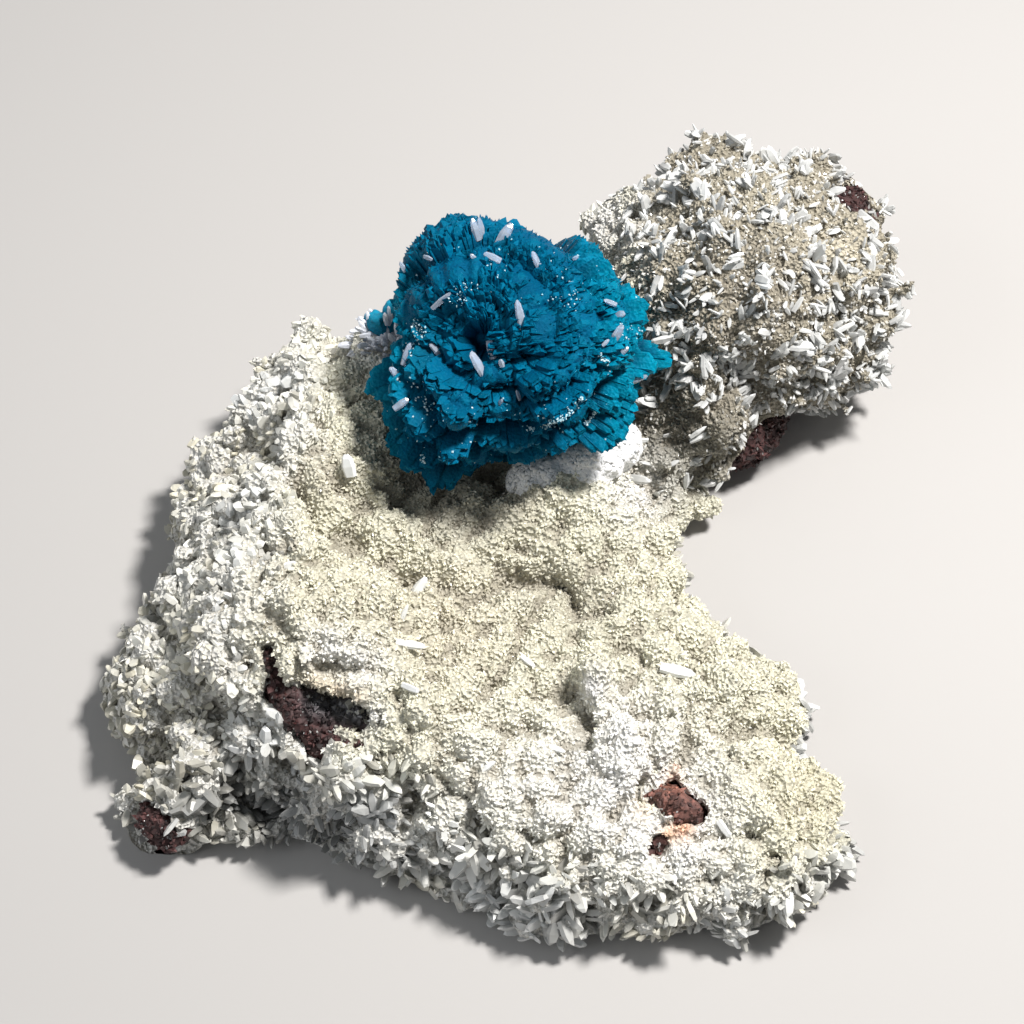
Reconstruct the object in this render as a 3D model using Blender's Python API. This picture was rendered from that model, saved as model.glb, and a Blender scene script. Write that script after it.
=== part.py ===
"""A cabinet specimen of cavansite: a blue rosette on a stilbite crust over basalt.

The specimen lies on the broken face of its rock, with the display face up.
The shapes are worked out in millimetres and each finished mesh is scaled to metres.
The origin is on the resting plane, under the middle of the specimen.
"""

import math
import random

import bmesh
import bpy
import numpy as np
from mathutils import Matrix, Vector, noise
from mathutils.bvhtree import BVHTree
from mathutils.geometry import delaunay_2d_cdt

# Driving dimensions, in millimetres
MM = 0.001
GAP = 0.35
CRUST_THICK = 5.5
CRUST_LIFT = 0.6
BELOW = -4.0
BODY_VOXEL = 1.2
BODY_TRIANGLES = 2700
ROCK_TRIANGLES = 700
ORIGIN_SHIFT = (-0.6, -1.2)

# The plate's outline seen from above, with the height of its edge at each point
PLATE_OUTLINE = [
    (4, -47.5, 5), (12, -47, 5), (19, -46.5, 5), (25, -46.5, 5), (31.5, -44, 5),
    (37, -38, 5), (37, -32.5, 6), (35.5, -28.5, 7), (32.5, -26.5, 7), (33, -21, 7),
    (32.5, -16, 7), (28.5, -15, 7.5), (24, -13, 8), (19.5, -7, 8), (19.5, 0, 9),
    (17.5, 4.5, 9), (23, 12, 8), (26, 20, 8), (22, 30, 8), (8, 31, 8),
    (-4, 31, 9), (-12, 30.5, 11), (-18.5, 29, 13), (-24.5, 27.5, 13), (-30.5, 26, 12),
    (-33.5, 19.5, 11), (-34.5, 15.5, 11), (-38.5, 14.5, 9), (-37, 10.5, 9), (-39.5, 6, 8),
    (-40.5, -0.5, 8), (-39, -4.5, 8), (-42, -7.5, 7), (-44.5, -13.5, 6), (-43.5, -20.5, 6),
    (-42.5, -27, 5), (-44, -32, 4), (-41.5, -35, 4), (-36, -36.2, 4), (-29, -34.5, 4),
    (-24, -35, 4), (-17, -37.5, 4), (-7, -40.5, 4.5), (-2, -43.5, 5),
]

# Spot heights of the plate's upper face
PLATE_HEIGHTS = [
    (-25, 12, 20), (-27, 0, 22), (-28.5, -12, 24), (-27.5, -22, 22.5), (-19.5, -27, 20),
    (-12, -33.5, 16.5), (-3.5, -39.5, 12.5), (5, -43, 11.5), (14, -44, 11), (26, -43, 10),
    (35, -37, 8.5), (-18, 3, 20), (-15, -9, 18), (-10, -20, 17.5), (0, -30, 15),
    (3, -9, 13.5), (9, -23, 14), (9, -11, 13.5), (6, 6, 14), (-8, 5, 16.5),
    (-12, 19, 15), (2, 20, 11), (15, 14, 11), (17, -36, 12.5), (25, -30, 12),
    (28, -22, 10.5), (16, 0, 12), (15, -12, 12.5),
]

# Lumps that make up the upper block: centre, then the three radii
BLOCK_LUMPS = [
    ((27, 31, 16), (15, 15.5, 16)),
    ((35, 33.5, 15), (11.5, 13.5, 13.5)),
    ((19.5, 35.5, 15.5), (9.5, 10.5, 12)),
    ((24, 21, 11), (9, 9, 11)),
    ((37, 27.5, 11), (9.5, 7.5, 8.5)),
    ((25, 44.5, 18.5), (6, 7, 7)),
    ((33, 44, 17), (7, 6, 7)),
    ((39.5, 41, 16.5), (5.5, 6, 7)),
    ((19.5, 12.5, 8), (4.2, 4, 4.5)),
    ((26, 17, 7), (5, 5, 6)),
]


def remove_startup_objects():
    for thing in list(bpy.data.objects):
        bpy.data.objects.remove(thing)


# Small tools that work on meshes in millimetres
def mesh_from(points, faces):
    mesh = bpy.data.meshes.new("shape")
    mesh.from_pydata([tuple(point) for point in points], [], [tuple(face) for face in faces])
    mesh.update()
    return mesh


def through_modifier(mesh, kind, **settings):
    """The mesh as one modifier leaves it."""
    carrier = bpy.data.objects.new("carrier", mesh)
    bpy.context.scene.collection.objects.link(carrier)
    modifier = carrier.modifiers.new(kind, kind)
    for name, value in settings.items():
        setattr(modifier, name, value)
    graph = bpy.context.evaluated_depsgraph_get()
    result = bpy.data.meshes.new_from_object(carrier.evaluated_get(graph))
    bpy.data.objects.remove(carrier)
    return result


def combine(mesh, other, operation, overlaps_itself=False):
    """Boolean of two closed meshes. The second may be made of shapes that overlap."""
    partner = bpy.data.objects.new("partner", other)
    bpy.context.scene.collection.objects.link(partner)
    result = through_modifier(
        mesh, "BOOLEAN", operation=operation, object=partner, solver="EXACT", use_self=overlaps_itself
    )
    bpy.data.objects.remove(partner)
    return result


def joined(meshes):
    """Several meshes as one, with nothing merged."""
    whole = bmesh.new()
    for mesh in meshes:
        whole.from_mesh(mesh)
    mesh = bpy.data.meshes.new("joined")
    whole.to_mesh(mesh)
    whole.free()
    return mesh


def grown(mesh, distance):
    return through_modifier(mesh, "DISPLACE", strength=distance, mid_level=0.0)


def thinned(mesh, triangles):
    mesh.calc_loop_triangles()
    ratio = min(1.0, triangles / len(mesh.loop_triangles))
    return through_modifier(mesh, "DECIMATE", ratio=ratio, use_collapse_triangulate=True)


def cut_flat(mesh, height):
    """Cuts the mesh off level at a height, and closes the cut with a flat face."""
    shape = bmesh.new()
    shape.from_mesh(mesh)
    everything = shape.verts[:] + shape.edges[:] + shape.faces[:]
    cut = bmesh.ops.bisect_plane(
        shape, geom=everything, plane_co=(0, 0, height), plane_no=(0, 0, 1), clear_inner=True
    )
    rim = [item for item in cut["geom_cut"] if isinstance(item, bmesh.types.BMEdge)]
    bmesh.ops.holes_fill(shape, edges=rim, sides=0)
    bmesh.ops.recalc_face_normals(shape, faces=shape.faces)
    result = bpy.data.meshes.new("cut")
    shape.to_mesh(result)
    shape.free()
    return result


def largest_island(mesh):
    """Keeps the biggest connected body, and drops chips that a cut left loose."""
    shape = bmesh.new()
    shape.from_mesh(mesh)
    unseen = set(shape.verts)
    biggest = set()
    while unseen:
        island = set()
        edge_of_search = [unseen.pop()]
        while edge_of_search:
            vertex = edge_of_search.pop()
            island.add(vertex)
            for edge in vertex.link_edges:
                neighbour = edge.other_vert(vertex)
                if neighbour in unseen:
                    unseen.remove(neighbour)
                    edge_of_search.append(neighbour)
        if len(island) > len(biggest):
            biggest = island
    bmesh.ops.delete(shape, geom=[v for v in shape.verts if v not in biggest], context="VERTS")
    result = bpy.data.meshes.new("island")
    shape.to_mesh(result)
    shape.free()
    return result


def points_and_normals(mesh):
    count = len(mesh.vertices)
    points = np.empty(count * 3)
    normals = np.empty(count * 3)
    mesh.vertices.foreach_get("co", points)
    mesh.vertices.foreach_get("normal", normals)
    return points.reshape(-1, 3), normals.reshape(-1, 3)


# The plate: one slab whose upper face runs through the spot heights
def surface_through(spots):
    """A smooth surface z(x, y) through the given points, as a thin-plate spline."""
    spots = np.array(spots, float)
    places = spots[:, :2]
    count = len(spots)

    def bend(a, b):
        squared = ((a[:, None, :] - b[None, :, :]) ** 2).sum(axis=2)
        return squared * np.log(squared + 1e-9)

    system = np.zeros((count + 3, count + 3))
    system[:count, :count] = bend(places, places)
    system[:count, count] = 1.0
    system[:count, count + 1:] = places
    system[count:, :count] = system[:count, count:].T
    weights = np.linalg.solve(system, np.append(spots[:, 2], np.zeros(3)))

    def height(where):
        where = np.asarray(where, float)
        plane = weights[count] + where @ weights[count + 1:]
        return bend(where, places) @ weights[:count] + plane

    return height


def inset_outline(outline, distance):
    """The outline with each point moved inwards. The outline runs anticlockwise."""
    points = np.array(outline, float)
    ahead = np.roll(points, -1, axis=0) - points
    behind = points - np.roll(points, 1, axis=0)
    along = ahead / np.linalg.norm(ahead, axis=1)[:, None] + behind / np.linalg.norm(behind, axis=1)[:, None]
    inwards = np.stack([-along[:, 1], along[:, 0]], axis=1)
    inwards /= np.linalg.norm(inwards, axis=1)[:, None]
    return points + inwards * distance


def slab(outline, height, drop, spacing=3.0):
    """A closed slab from BELOW up to the height surface, less a drop."""
    low = outline.min(axis=0)
    high = outline.max(axis=0)
    across = np.arange(low[0] + 1, high[0], spacing)
    along = np.arange(low[1] + 1, high[1], spacing)
    grid = [(x, y) for x in across for y in along]
    flat = [Vector(point) for point in outline.tolist() + grid]
    rim = list(range(len(outline)))
    plan, _, triangles, _, _, _ = delaunay_2d_cdt(flat, [], [rim], 1, 1e-4)
    places = np.array([tuple(point) for point in plan])
    top = np.column_stack([places, np.maximum(height(places) - drop, 1.0)])
    under = np.column_stack([places, np.full(len(places), BELOW)])
    count = len(places)
    faces = [tuple(face) for face in triangles]
    faces += [tuple(count + corner for corner in reversed(face)) for face in triangles]
    used = {}
    for face in triangles:
        for start, end in zip(face, face[1:] + face[:1]):
            used[(start, end)] = used.get((start, end), 0) + 1
    for start, end in used:
        if (end, start) not in used:
            faces.append((end, start, count + start, count + end))
    return mesh_from(np.vstack([top, under]), faces)


def ellipsoid(centre, radii, turn=0.0, detail=3):
    shape = bmesh.new()
    bmesh.ops.create_icosphere(shape, subdivisions=detail, radius=1.0)
    size = Matrix.Diagonal((*radii, 1.0))
    place = Matrix.Translation(centre) @ Matrix.Rotation(turn, 4, "Z") @ size
    bmesh.ops.transform(shape, matrix=place, verts=shape.verts)
    mesh = bpy.data.meshes.new("ellipsoid")
    shape.to_mesh(mesh)
    shape.free()
    return mesh


# The relief of the crust: lumps rise and hollows fall, as gaussians around a point
CRUST_RELIEF = [
    ((9, -23, 15), 2.6, 1.6),
    ((10.5, -28, 14), 2.8, 1.3),
    ((11, -32, 13), 2.6, 1.0),
    ((-18.5, 3, 21), 3.2, 1.6),
    ((-14, 14, 18), 3.5, 1.2),
    ((3, -9, 14), 3.6, -1.7),
    ((8.5, -11, 14), 3.0, -1.4),
    ((0, -8, 14), 2.5, -1.0),
    ((-11, -12, 17), 3.0, -1.3),
    ((17, -26, 12), 4.0, 0.9),
    ((24, -30.5, 12), 3.5, 1.2),
    ((31, -22, 9), 3.5, -0.9),
    ((36, -36, 8), 3.0, -1.2),
    ((-20.5, -27.5, 20), 4.3, -3.8),
    ((-25, -24.5, 21), 3.0, -2.2),
    ((-15.5, -30.5, 17), 3.0, -2.2),
    ((17.5, -36, 13), 3.0, -0.9),
    ((-37, -12, 10), 5.0, 1.6),
    ((-36, -24, 10), 4.5, 1.2),
    ((-34, -1, 14), 4.5, 1.3),
    ((-30, -33, 8), 4.0, -1.6),
    ((-35, 9, 12), 3.5, 1.0),
    ((30, 18, 7), 6.0, -3.2),
]

# Creases in the upper face: the points that each runs through, its width and its depth
CREASES = [
    (((-22, 10), (-19, 0), (-16, -9), (-12, -13)), 2.2, 1.5),
    (((0, -20), (-2, -24), (-5, -29)), 1.2, 0.7),
    (((6.5, -21), (7, -27), (8, -32)), 1.6, 1.1),
    (((20, -27), (27, -27), (33, -27)), 1.8, 1.0),
    (((-17, -8), (-21, -13), (-25, -16)), 1.2, 0.6),
]

# Where the rock shows through the crust: centre, then the three radii
ROCK_BOSSES = [
    ((-25.3, -23.5, 17.5), (2.0, 3.4, 3.0)),
    ((-23.0, -28.0, 15.0), (2.0, 3.0, 3.0)),
    ((-18.0, -31.0, 13.2), (4.4, 2.2, 2.6)),
    ((-38.2, -33.0, 3.8), (4.0, 4.4, 3.4)),
    ((17.3, -36.0, 8.8), (4.0, 3.4, 5.0)),
    ((14.8, -40.2, 7.0), (1.6, 1.9, 4.4)),
    ((40.2, 38.5, 20.8), (4.6, 5.2, 5.8)),
    ((27.5, 20.0, 5.0), (5.2, 5.4, 5.0)),
]


# The rock's stump under the upper block, and its neck to the plate's rock
ROCK_NECK = [
    ((26.0, 30.0, 4.0), (11.0, 12.0, 6.0)),
    ((20.0, 20.0, 3.0), (7.0, 9.0, 5.0)),
]


def roughness_at(point, sizes):
    """Sum of noises, each given as its wavelength and its height."""
    return sum(height * noise.noise(Vector(point) / wavelength) for wavelength, height in sizes)


def distance_to_path(places, path):
    """How far each place is from a broken line, seen from above."""
    nearest = np.full(len(places), np.inf)
    for start, end in zip(path, path[1:]):
        start = np.array(start, float)
        run = np.array(end, float) - start
        share = np.clip(((places - start) @ run) / (run @ run), 0.0, 1.0)
        gap = np.linalg.norm(places - start - share[:, None] * run, axis=1)
        nearest = np.minimum(nearest, gap)
    return nearest


def with_relief(mesh, sizes, bumps=(), creases=()):
    points, normals = points_and_normals(mesh)
    rise = np.array([roughness_at(point, sizes) for point in points])
    for centre, radius, height in bumps:
        away = np.linalg.norm(points - np.array(centre, float), axis=1)
        rise += height * np.exp(-((away / radius) ** 2))
    upward = np.clip(normals[:, 2], 0.0, 1.0)
    for path, width, depth in creases:
        away = distance_to_path(points[:, :2], path)
        rise -= depth * upward * np.exp(-((away / width) ** 2))
    points += normals * rise[:, None]
    mesh.vertices.foreach_set("co", points.ravel())
    mesh.update()
    return mesh


def rounded_body(shapes, sizes, bumps=(), creases=()):
    """One skin over overlapping shapes, smoothed and roughened."""
    whole = through_modifier(joined(shapes), "REMESH", mode="VOXEL", voxel_size=BODY_VOXEL)
    whole = through_modifier(whole, "SMOOTH", factor=0.5, iterations=6)
    return with_relief(whole, sizes, bumps, creases)


def make_body():
    """Crust and rock together, as one solid."""
    outline = np.array([point[:2] for point in PLATE_OUTLINE], float)
    height = surface_through(PLATE_OUTLINE + PLATE_HEIGHTS)
    shapes = [slab(outline, height, 0.0)]
    shapes += [ellipsoid(centre, radii) for centre, radii in BLOCK_LUMPS]
    sizes = [(9.0, 1.6), (4.5, 0.9), (2.6, 0.5)]
    return thinned(rounded_body(shapes, sizes, CRUST_RELIEF, CREASES), BODY_TRIANGLES)


def make_rock():
    """The basalt that the crust grew on, with the bosses that reach the open patches."""
    outline = np.array([point[:2] for point in PLATE_OUTLINE], float)
    height = surface_through(PLATE_OUTLINE + PLATE_HEIGHTS)
    shapes = [slab(inset_outline(outline, CRUST_THICK), height, CRUST_THICK)]
    for centre, radii in BLOCK_LUMPS:
        if min(radii) > CRUST_THICK + 2.0:
            shapes.append(ellipsoid(centre, [radius - CRUST_THICK for radius in radii]))
    shapes += [ellipsoid(centre, radii) for centre, radii in ROCK_NECK + ROCK_BOSSES]
    sizes = [(5.0, 0.8), (2.4, 0.5)]
    return thinned(rounded_body(shapes, sizes), ROCK_TRIANGLES)


# A stilbite blade: a flat lath with square shoulders and a blunt point
def blade(base, along, flat, length, width, thick):
    """Runs from its base along a direction. Its broad face looks along flat."""
    along = along.normalized()
    across = flat.cross(along).normalized()
    facing = along.cross(across)
    points = []
    for reach in (0.0, 0.72):
        for side, front in ((-0.5, -0.5), (0.5, -0.5), (0.5, 0.5), (-0.5, 0.5)):
            points.append(base + along * length * reach + across * width * side + facing * thick * front)
    points += [base + along * length + across * width * side for side in (-0.16, 0.16)]
    faces = [(3, 2, 1, 0), (4, 5, 9, 8), (5, 6, 9), (6, 7, 8, 9), (7, 4, 8)]
    for corner in range(4):
        after = (corner + 1) % 4
        faces.append((corner, after, 4 + after, 4 + corner))
    return mesh_from(points, faces)


def random_direction(chance):
    while True:
        arrow = Vector((chance.uniform(-1, 1), chance.uniform(-1, 1), chance.uniform(-1, 1)))
        if 0.1 < arrow.length < 1.0:
            return arrow.normalized()


# Directions in the display view: level to the right, up the picture, and away into it
VIEW_TILT = math.radians(55)
VIEW_RIGHT = Vector((1, 0, 0))
VIEW_UP = Vector((0, math.sin(VIEW_TILT), math.cos(VIEW_TILT)))
VIEW_AWAY = Vector((0, math.cos(VIEW_TILT), -math.sin(VIEW_TILT)))

# The rosette: a ball of thick fans that spread from its middle
ROSETTE_CENTRE = Vector((-0.5, 15.0, 25.5))
ROSETTE_RADIUS = 16.3
ROSETTE_CORE = 12.6
PETAL_COUNT = 34
PETAL_LEAN = VIEW_RIGHT * math.cos(math.radians(28)) + VIEW_UP * math.sin(math.radians(28))

# How far the ball reaches at each angle round the display view, from the right and anticlockwise
ROSETTE_REACH = [
    (0, 18.6), (20, 17.6), (42, 17.4), (62, 15.8), (78, 15.2), (98, 15.8), (116, 18.0), (140, 17.0),
    (165, 16.6), (195, 17.2), (218, 17.8), (240, 18.8), (256, 16.2), (275, 14.8), (300, 15.8),
    (322, 17.6), (340, 16.8),
]

# The pit in the ball's face: right and up in the display view, from the ball's middle
PIT_PLACE = (-3.2, 1.2)
PIT_SPREAD = 0.42
PIT_DEPTH = 4.5

# A petal's outline: share of its length, then share of its width
PETAL_EDGE = [
    (0.0, 0.0), (0.6, -0.42), (0.88, -0.5), (0.98, -0.24), (0.95, 0.02),
    (1.0, 0.26), (0.88, 0.5), (0.6, 0.42),
]
PETAL_RIM = 0.3

# Fans that stand out of the ball: right and up in the display view, length, width, lean in degrees
LONG_PETALS = [
    ((-8.4, -14.2), 18.8, 6.0, 60),
    ((-5.4, -14.6), 17.6, 5.5, 60),
    ((-15.6, -5.2), 18.2, 6.5, 80),
    ((17.4, -1.4), 19.6, 6.5, 30),
    ((-1.0, 15.0), 15.4, 9.0, 95),
]


def petal(base, along, across, length, width, thick):
    """A fan with a blunt scalloped rim, thickest at its middle."""
    along = along.normalized()
    across = (across - along * across.dot(along)).normalized()
    facing = along.cross(across)
    points = []
    for side in (1, -1):
        for reach, wide in PETAL_EDGE:
            lift = facing * side * thick * PETAL_RIM / 2
            points.append(base + along * length * reach + across * width * wide + lift)
    middle = base + along * length * 0.74
    points += [middle + facing * thick / 2, middle - facing * thick / 2]
    count = len(PETAL_EDGE)
    faces = []
    for corner in range(count):
        after = (corner + 1) % count
        faces.append((corner, after, 2 * count))
        faces.append((count + after, count + corner, 2 * count + 1))
        faces.append((after, corner, count + corner, count + after))
    return mesh_from(points, faces)


def reach_at(angle):
    """The ball's reach at an angle round the display view, in radians."""
    angles = [math.radians(degrees) for degrees, _ in ROSETTE_REACH]
    return float(np.interp(angle, angles, [reach for _, reach in ROSETTE_REACH], period=math.tau))


def petal_length(towards):
    right = towards.dot(VIEW_RIGHT)
    up = towards.dot(VIEW_UP)
    level = math.hypot(right, up)
    length = ROSETTE_RADIUS + (reach_at(math.atan2(up, right)) - ROSETTE_RADIUS) * level
    if towards.dot(VIEW_AWAY) > 0:
        return length
    pit = Vector(PIT_PLACE) / ROSETTE_RADIUS
    away = math.hypot(right - pit.x, up - pit.y)
    return length - PIT_DEPTH * math.exp(-((away / PIT_SPREAD) ** 2))


def petal_lean(towards):
    """Above the pit the fans stand along the ribs that run into it. Below it they lie stacked."""
    right = towards.dot(VIEW_RIGHT) - PIT_PLACE[0] / ROSETTE_RADIUS
    up = towards.dot(VIEW_UP) - PIT_PLACE[1] / ROSETTE_RADIUS
    if up > 0:
        return (VIEW_RIGHT * right + VIEW_UP * up).normalized()
    return PETAL_LEAN


def sphere_directions(count):
    """Evenly spread directions, by the golden angle."""
    golden = math.pi * (3.0 - math.sqrt(5.0))
    for step in range(count):
        level = 1.0 - 2.0 * (step + 0.5) / count
        flat = math.sqrt(1.0 - level * level)
        yield Vector((flat * math.cos(golden * step), flat * math.sin(golden * step), level))


def make_rosette(chance):
    petals = []
    for towards in sphere_directions(PETAL_COUNT):
        if towards.z < -0.75:
            continue
        towards = (towards + 0.12 * random_direction(chance)).normalized()
        lean = petal_lean(towards) + 0.3 * random_direction(chance)
        length = petal_length(towards) * chance.uniform(0.96, 1.03)
        width = chance.uniform(9.0, 12.0)
        petals.append(petal(ROSETTE_CENTRE, towards, lean, length, width, chance.uniform(4.2, 5.4)))
    for (right, up), length, width, degrees in LONG_PETALS:
        towards = VIEW_RIGHT * right + VIEW_UP * up - VIEW_AWAY * 3.0
        turn = math.radians(degrees)
        lean = VIEW_RIGHT * math.cos(turn) + VIEW_UP * math.sin(turn) - VIEW_AWAY
        petals.append(petal(ROSETTE_CENTRE, towards, lean, length, width, 3.4))
    core = ellipsoid(ROSETTE_CENTRE, [ROSETTE_CORE] * 3, detail=1)
    return combine(core, joined(petals), "UNION", overlaps_itself=True)


# The blue sprig at the rosette's left, and the cushion under its front
SPRIG_PLACE = Vector((-14.8, 25.6, 15.8))
SPRIG_PETALS = [
    ((-1.0, 0.9, 0.5), 4.0, 3.2),
    ((0.1, 1.0, 0.7), 4.2, 3.0),
    ((-0.6, 0.2, 1.0), 3.6, 3.0),
]
CUSHION_LUMPS = [
    ((3.5, 4.5, 15.5), (4.5, 3.0, 2.6)),
    ((8.5, 6.0, 16.0), (4.5, 3.4, 3.4)),
    ((12.0, 8.5, 16.5), (3.4, 3.0, 3.2)),
]


def make_sprig():
    petals = [ellipsoid(SPRIG_PLACE, (1.7, 1.7, 1.7), detail=1)]
    for towards, length, width in SPRIG_PETALS:
        petals.append(petal(SPRIG_PLACE, Vector(towards), VIEW_RIGHT, length, width, 1.6))
    return combine(petals[0], joined(petals[1:]), "UNION", overlaps_itself=True)


def make_cushion():
    lumps = [ellipsoid(centre, radii, detail=2) for centre, radii in CUSHION_LUMPS]
    whole = through_modifier(joined(lumps), "REMESH", mode="VOXEL", voxel_size=0.6)
    whole = through_modifier(whole, "SMOOTH", factor=0.5, iterations=3)
    return thinned(with_relief(whole, [(1.8, 0.5)]), 170)


# Blades that stand out from the crust, thickest on the flanks and on the upper block
BLADE_TRIES = 2600
BLOCK_BLADES = 40
FLANK_BLADES = 44
FACE_BLADES = 3
BLADE_WIDTH = 0.42
BLADE_THICK = 0.24
BLADE_ROOT = 0.36

# Blades placed by hand: base, direction, length
NAMED_BLADES = [
    ((5.0, -46.0, 4.0), (0.05, -1.0, -0.1), 4.0),
    ((21.0, 46.5, 21.5), (-0.4, 0.7, 0.6), 4.4),
    ((24.0, 47.0, 22.0), (0.2, 0.7, 0.6), 4.2),
    ((-37.0, 13.0, 10.0), (-0.9, 0.3, 0.3), 4.0),
    ((32.5, -42.5, 5.0), (0.5, -0.8, 0.1), 3.8),
    ((-11.5, -12.5, 17.5), (0.3, 0.6, 0.9), 4.0),
    ((17.5, -23.0, 13.0), (0.8, 0.2, 0.5), 3.8),
    ((41.0, 21.5, 7.0), (0.2, -0.9, -0.1), 4.4),
    ((-16.8, 25.0, 17.0), (-0.3, 0.6, 1.0), 4.2),
    ((-18.0, 23.5, 16.5), (-0.8, 0.2, 0.9), 4.0),
    ((-14.8, 22.8, 17.0), (0.1, -0.5, 1.0), 3.8),
]


def tree_of(mesh):
    corners = [vertex.co for vertex in mesh.vertices]
    return BVHTree.FromPolygons(corners, [face.vertices for face in mesh.polygons])


def face_samples(mesh, count, chance):
    """Random points on a mesh, spread by area, with the normal at each."""
    mesh.calc_loop_triangles()
    corners = [tuple(mesh.vertices[index].co.copy() for index in face.vertices) for face in mesh.loop_triangles]
    areas = [face.area for face in mesh.loop_triangles]
    for a, b, c in chance.choices(corners, weights=areas, k=count):
        first = chance.random()
        second = chance.random()
        if first + second > 1.0:
            first, second = 1.0 - first, 1.0 - second
        yield a + (b - a) * first + (c - a) * second, (b - a).cross(c - a).normalized()


def zone_of(place, normal):
    """Which growth of blades a place on the crust carries."""
    if place.z < 2.5 or normal.z < -0.5:
        return None
    if (place - ROSETTE_CENTRE).length < ROSETTE_RADIUS + 2.5:
        return None
    for centre, radii in ROCK_BOSSES:
        if (place - Vector(centre)).length < max(radii) + 1.0:
            return None
    for centre, radii in CUSHION_LUMPS:
        if (place - Vector(centre)).length < max(radii) + 1.2:
            return None
    if place.y > 17 and place.x > 7:
        return "block"
    beyond_ridge = place.x < -24 or normal.y < -0.5
    return "flank" if beyond_ridge else "face"


def crust_blade(root, along, length, chance):
    return blade(root, along, random_direction(chance), length, length * BLADE_WIDTH, length * BLADE_THICK)


def make_blades(body, chance):
    """Separate blades, rooted in the crust and clear of each other."""
    wanted = {"block": BLOCK_BLADES, "flank": FLANK_BLADES, "face": FACE_BLADES}
    blades = []
    tips = []
    tree = tree_of(body)
    for base, along, length in NAMED_BLADES:
        place = tree.find_nearest(Vector(base))[0]
        along = Vector(along).normalized()
        tips.append(place + along * length * 0.3)
        blades.append(crust_blade(place - along * length * BLADE_ROOT, along, length, chance))
    for place, normal in face_samples(body, BLADE_TRIES, chance):
        zone = zone_of(place, normal)
        if zone is None or wanted[zone] == 0:
            continue
        length = chance.uniform(3.6, 5.0)
        along = (normal + 1.1 * random_direction(chance)).normalized()
        middle = place + along * length * 0.3
        if along.dot(normal) < 0.35 or any((middle - tip).length < 3.4 for tip in tips):
            continue
        wanted[zone] -= 1
        tips.append(middle)
        blades.append(crust_blade(place - along * length * BLADE_ROOT, along, length, chance))
    return joined(blades)


# Clear stilbite crystals on the rosette: right and up in the display view from its middle,
# the angle that each lies at in that view in degrees, and its length
ROSETTE_CRYSTALS = [
    ((1.4, 3.4), 100, 3.6),
    ((-3.4, 13.6), 120, 2.6),
    ((-1.8, 10.8), 150, 2.4),
    ((3.2, 10.4), 120, 2.8),
    ((-3.6, -1.6), 130, 3.0),
    ((-12.6, -6.2), 25, 2.6),
    ((0.2, -6.3), 10, 2.4),
    ((11.3, -0.4), 80, 2.4),
]
CRYSTAL_WIDTH = 0.36
CRYSTAL_THICK = 0.24


def crystal_on_rosette(tree, place, angle, length, spare=0.0):
    """A blade that lies on the rosette where the display view meets it."""
    start = ROSETTE_CENTRE + VIEW_RIGHT * place[0] + VIEW_UP * place[1] - VIEW_AWAY * 50
    hit, normal, _, _ = tree.ray_cast(start, VIEW_AWAY)
    turn = math.radians(angle)
    along = VIEW_RIGHT * math.cos(turn) + VIEW_UP * math.sin(turn)
    along = (along - normal * along.dot(normal)).normalized() + 0.35 * normal
    along.normalize()
    width = length * CRYSTAL_WIDTH + 2 * spare
    thick = length * CRYSTAL_THICK + 2 * spare
    root = hit - along * (length * 0.4 + spare) + normal * length * 0.02
    return blade(root, along, normal, length + 2 * spare, width, thick)


def finish_node(name, mesh, colour, roughness):
    """The named object, in metres about the origin, with its material."""
    shift = Matrix.Translation((ORIGIN_SHIFT[0], ORIGIN_SHIFT[1], 0.0))
    mesh.transform(Matrix.Scale(MM, 4) @ shift)
    thing = bpy.data.objects.new(name, mesh)
    bpy.context.scene.collection.objects.link(thing)
    material = bpy.data.materials.new(name)
    material.use_nodes = True
    shader = material.node_tree.nodes["Principled BSDF"]
    shader.inputs["Base Color"].default_value = (*colour, 1.0)
    shader.inputs["Roughness"].default_value = roughness
    mesh.materials.clear()
    mesh.materials.append(material)
    return thing


def build_specimen():
    remove_startup_objects()
    chance = random.Random(7)
    body = make_body()
    rock = make_rock()
    clearance = grown(body, GAP)
    blades = make_blades(body, chance)
    crust = combine(cut_flat(body, CRUST_LIFT), grown(rock, GAP + 0.1), "DIFFERENCE")
    crust = largest_island(combine(largest_island(crust), blades, "UNION", overlaps_itself=True))

    cushion = largest_island(combine(make_cushion(), clearance, "DIFFERENCE"))
    rosette = combine(make_rosette(chance), clearance, "DIFFERENCE")
    rosette = largest_island(combine(rosette, grown(cushion, GAP), "DIFFERENCE"))
    tree = tree_of(rosette)
    crystals = [crystal_on_rosette(tree, *row) for row in ROSETTE_CRYSTALS]
    pockets = [crystal_on_rosette(tree, *row, spare=GAP) for row in ROSETTE_CRYSTALS]
    rosette = largest_island(combine(rosette, joined(pockets), "DIFFERENCE", overlaps_itself=True))

    sprig = largest_island(combine(make_sprig(), clearance, "DIFFERENCE"))

    finish_node("stilbite_crust", crust, (0.82, 0.8, 0.72), 0.6)
    finish_node("basalt_matrix", largest_island(cut_flat(rock, 0.0)), (0.09, 0.045, 0.035), 0.8)
    finish_node("cavansite_rosette", rosette, (0.005, 0.13, 0.26), 0.35)
    finish_node("cavansite_sprig", sprig, (0.02, 0.32, 0.45), 0.35)
    finish_node("white_cushion", cushion, (0.9, 0.9, 0.88), 0.9)
    for number, crystal in enumerate(crystals, start=1):
        finish_node(f"stilbite_on_rosette_{number}", crystal, (0.85, 0.9, 0.92), 0.12)


build_specimen()
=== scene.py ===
"""The looks of a cavansite specimen: a blue rosette on a stilbite crust over basalt.

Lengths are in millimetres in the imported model's frame, unless a comment says otherwise.
"""

import itertools
import math

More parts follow.
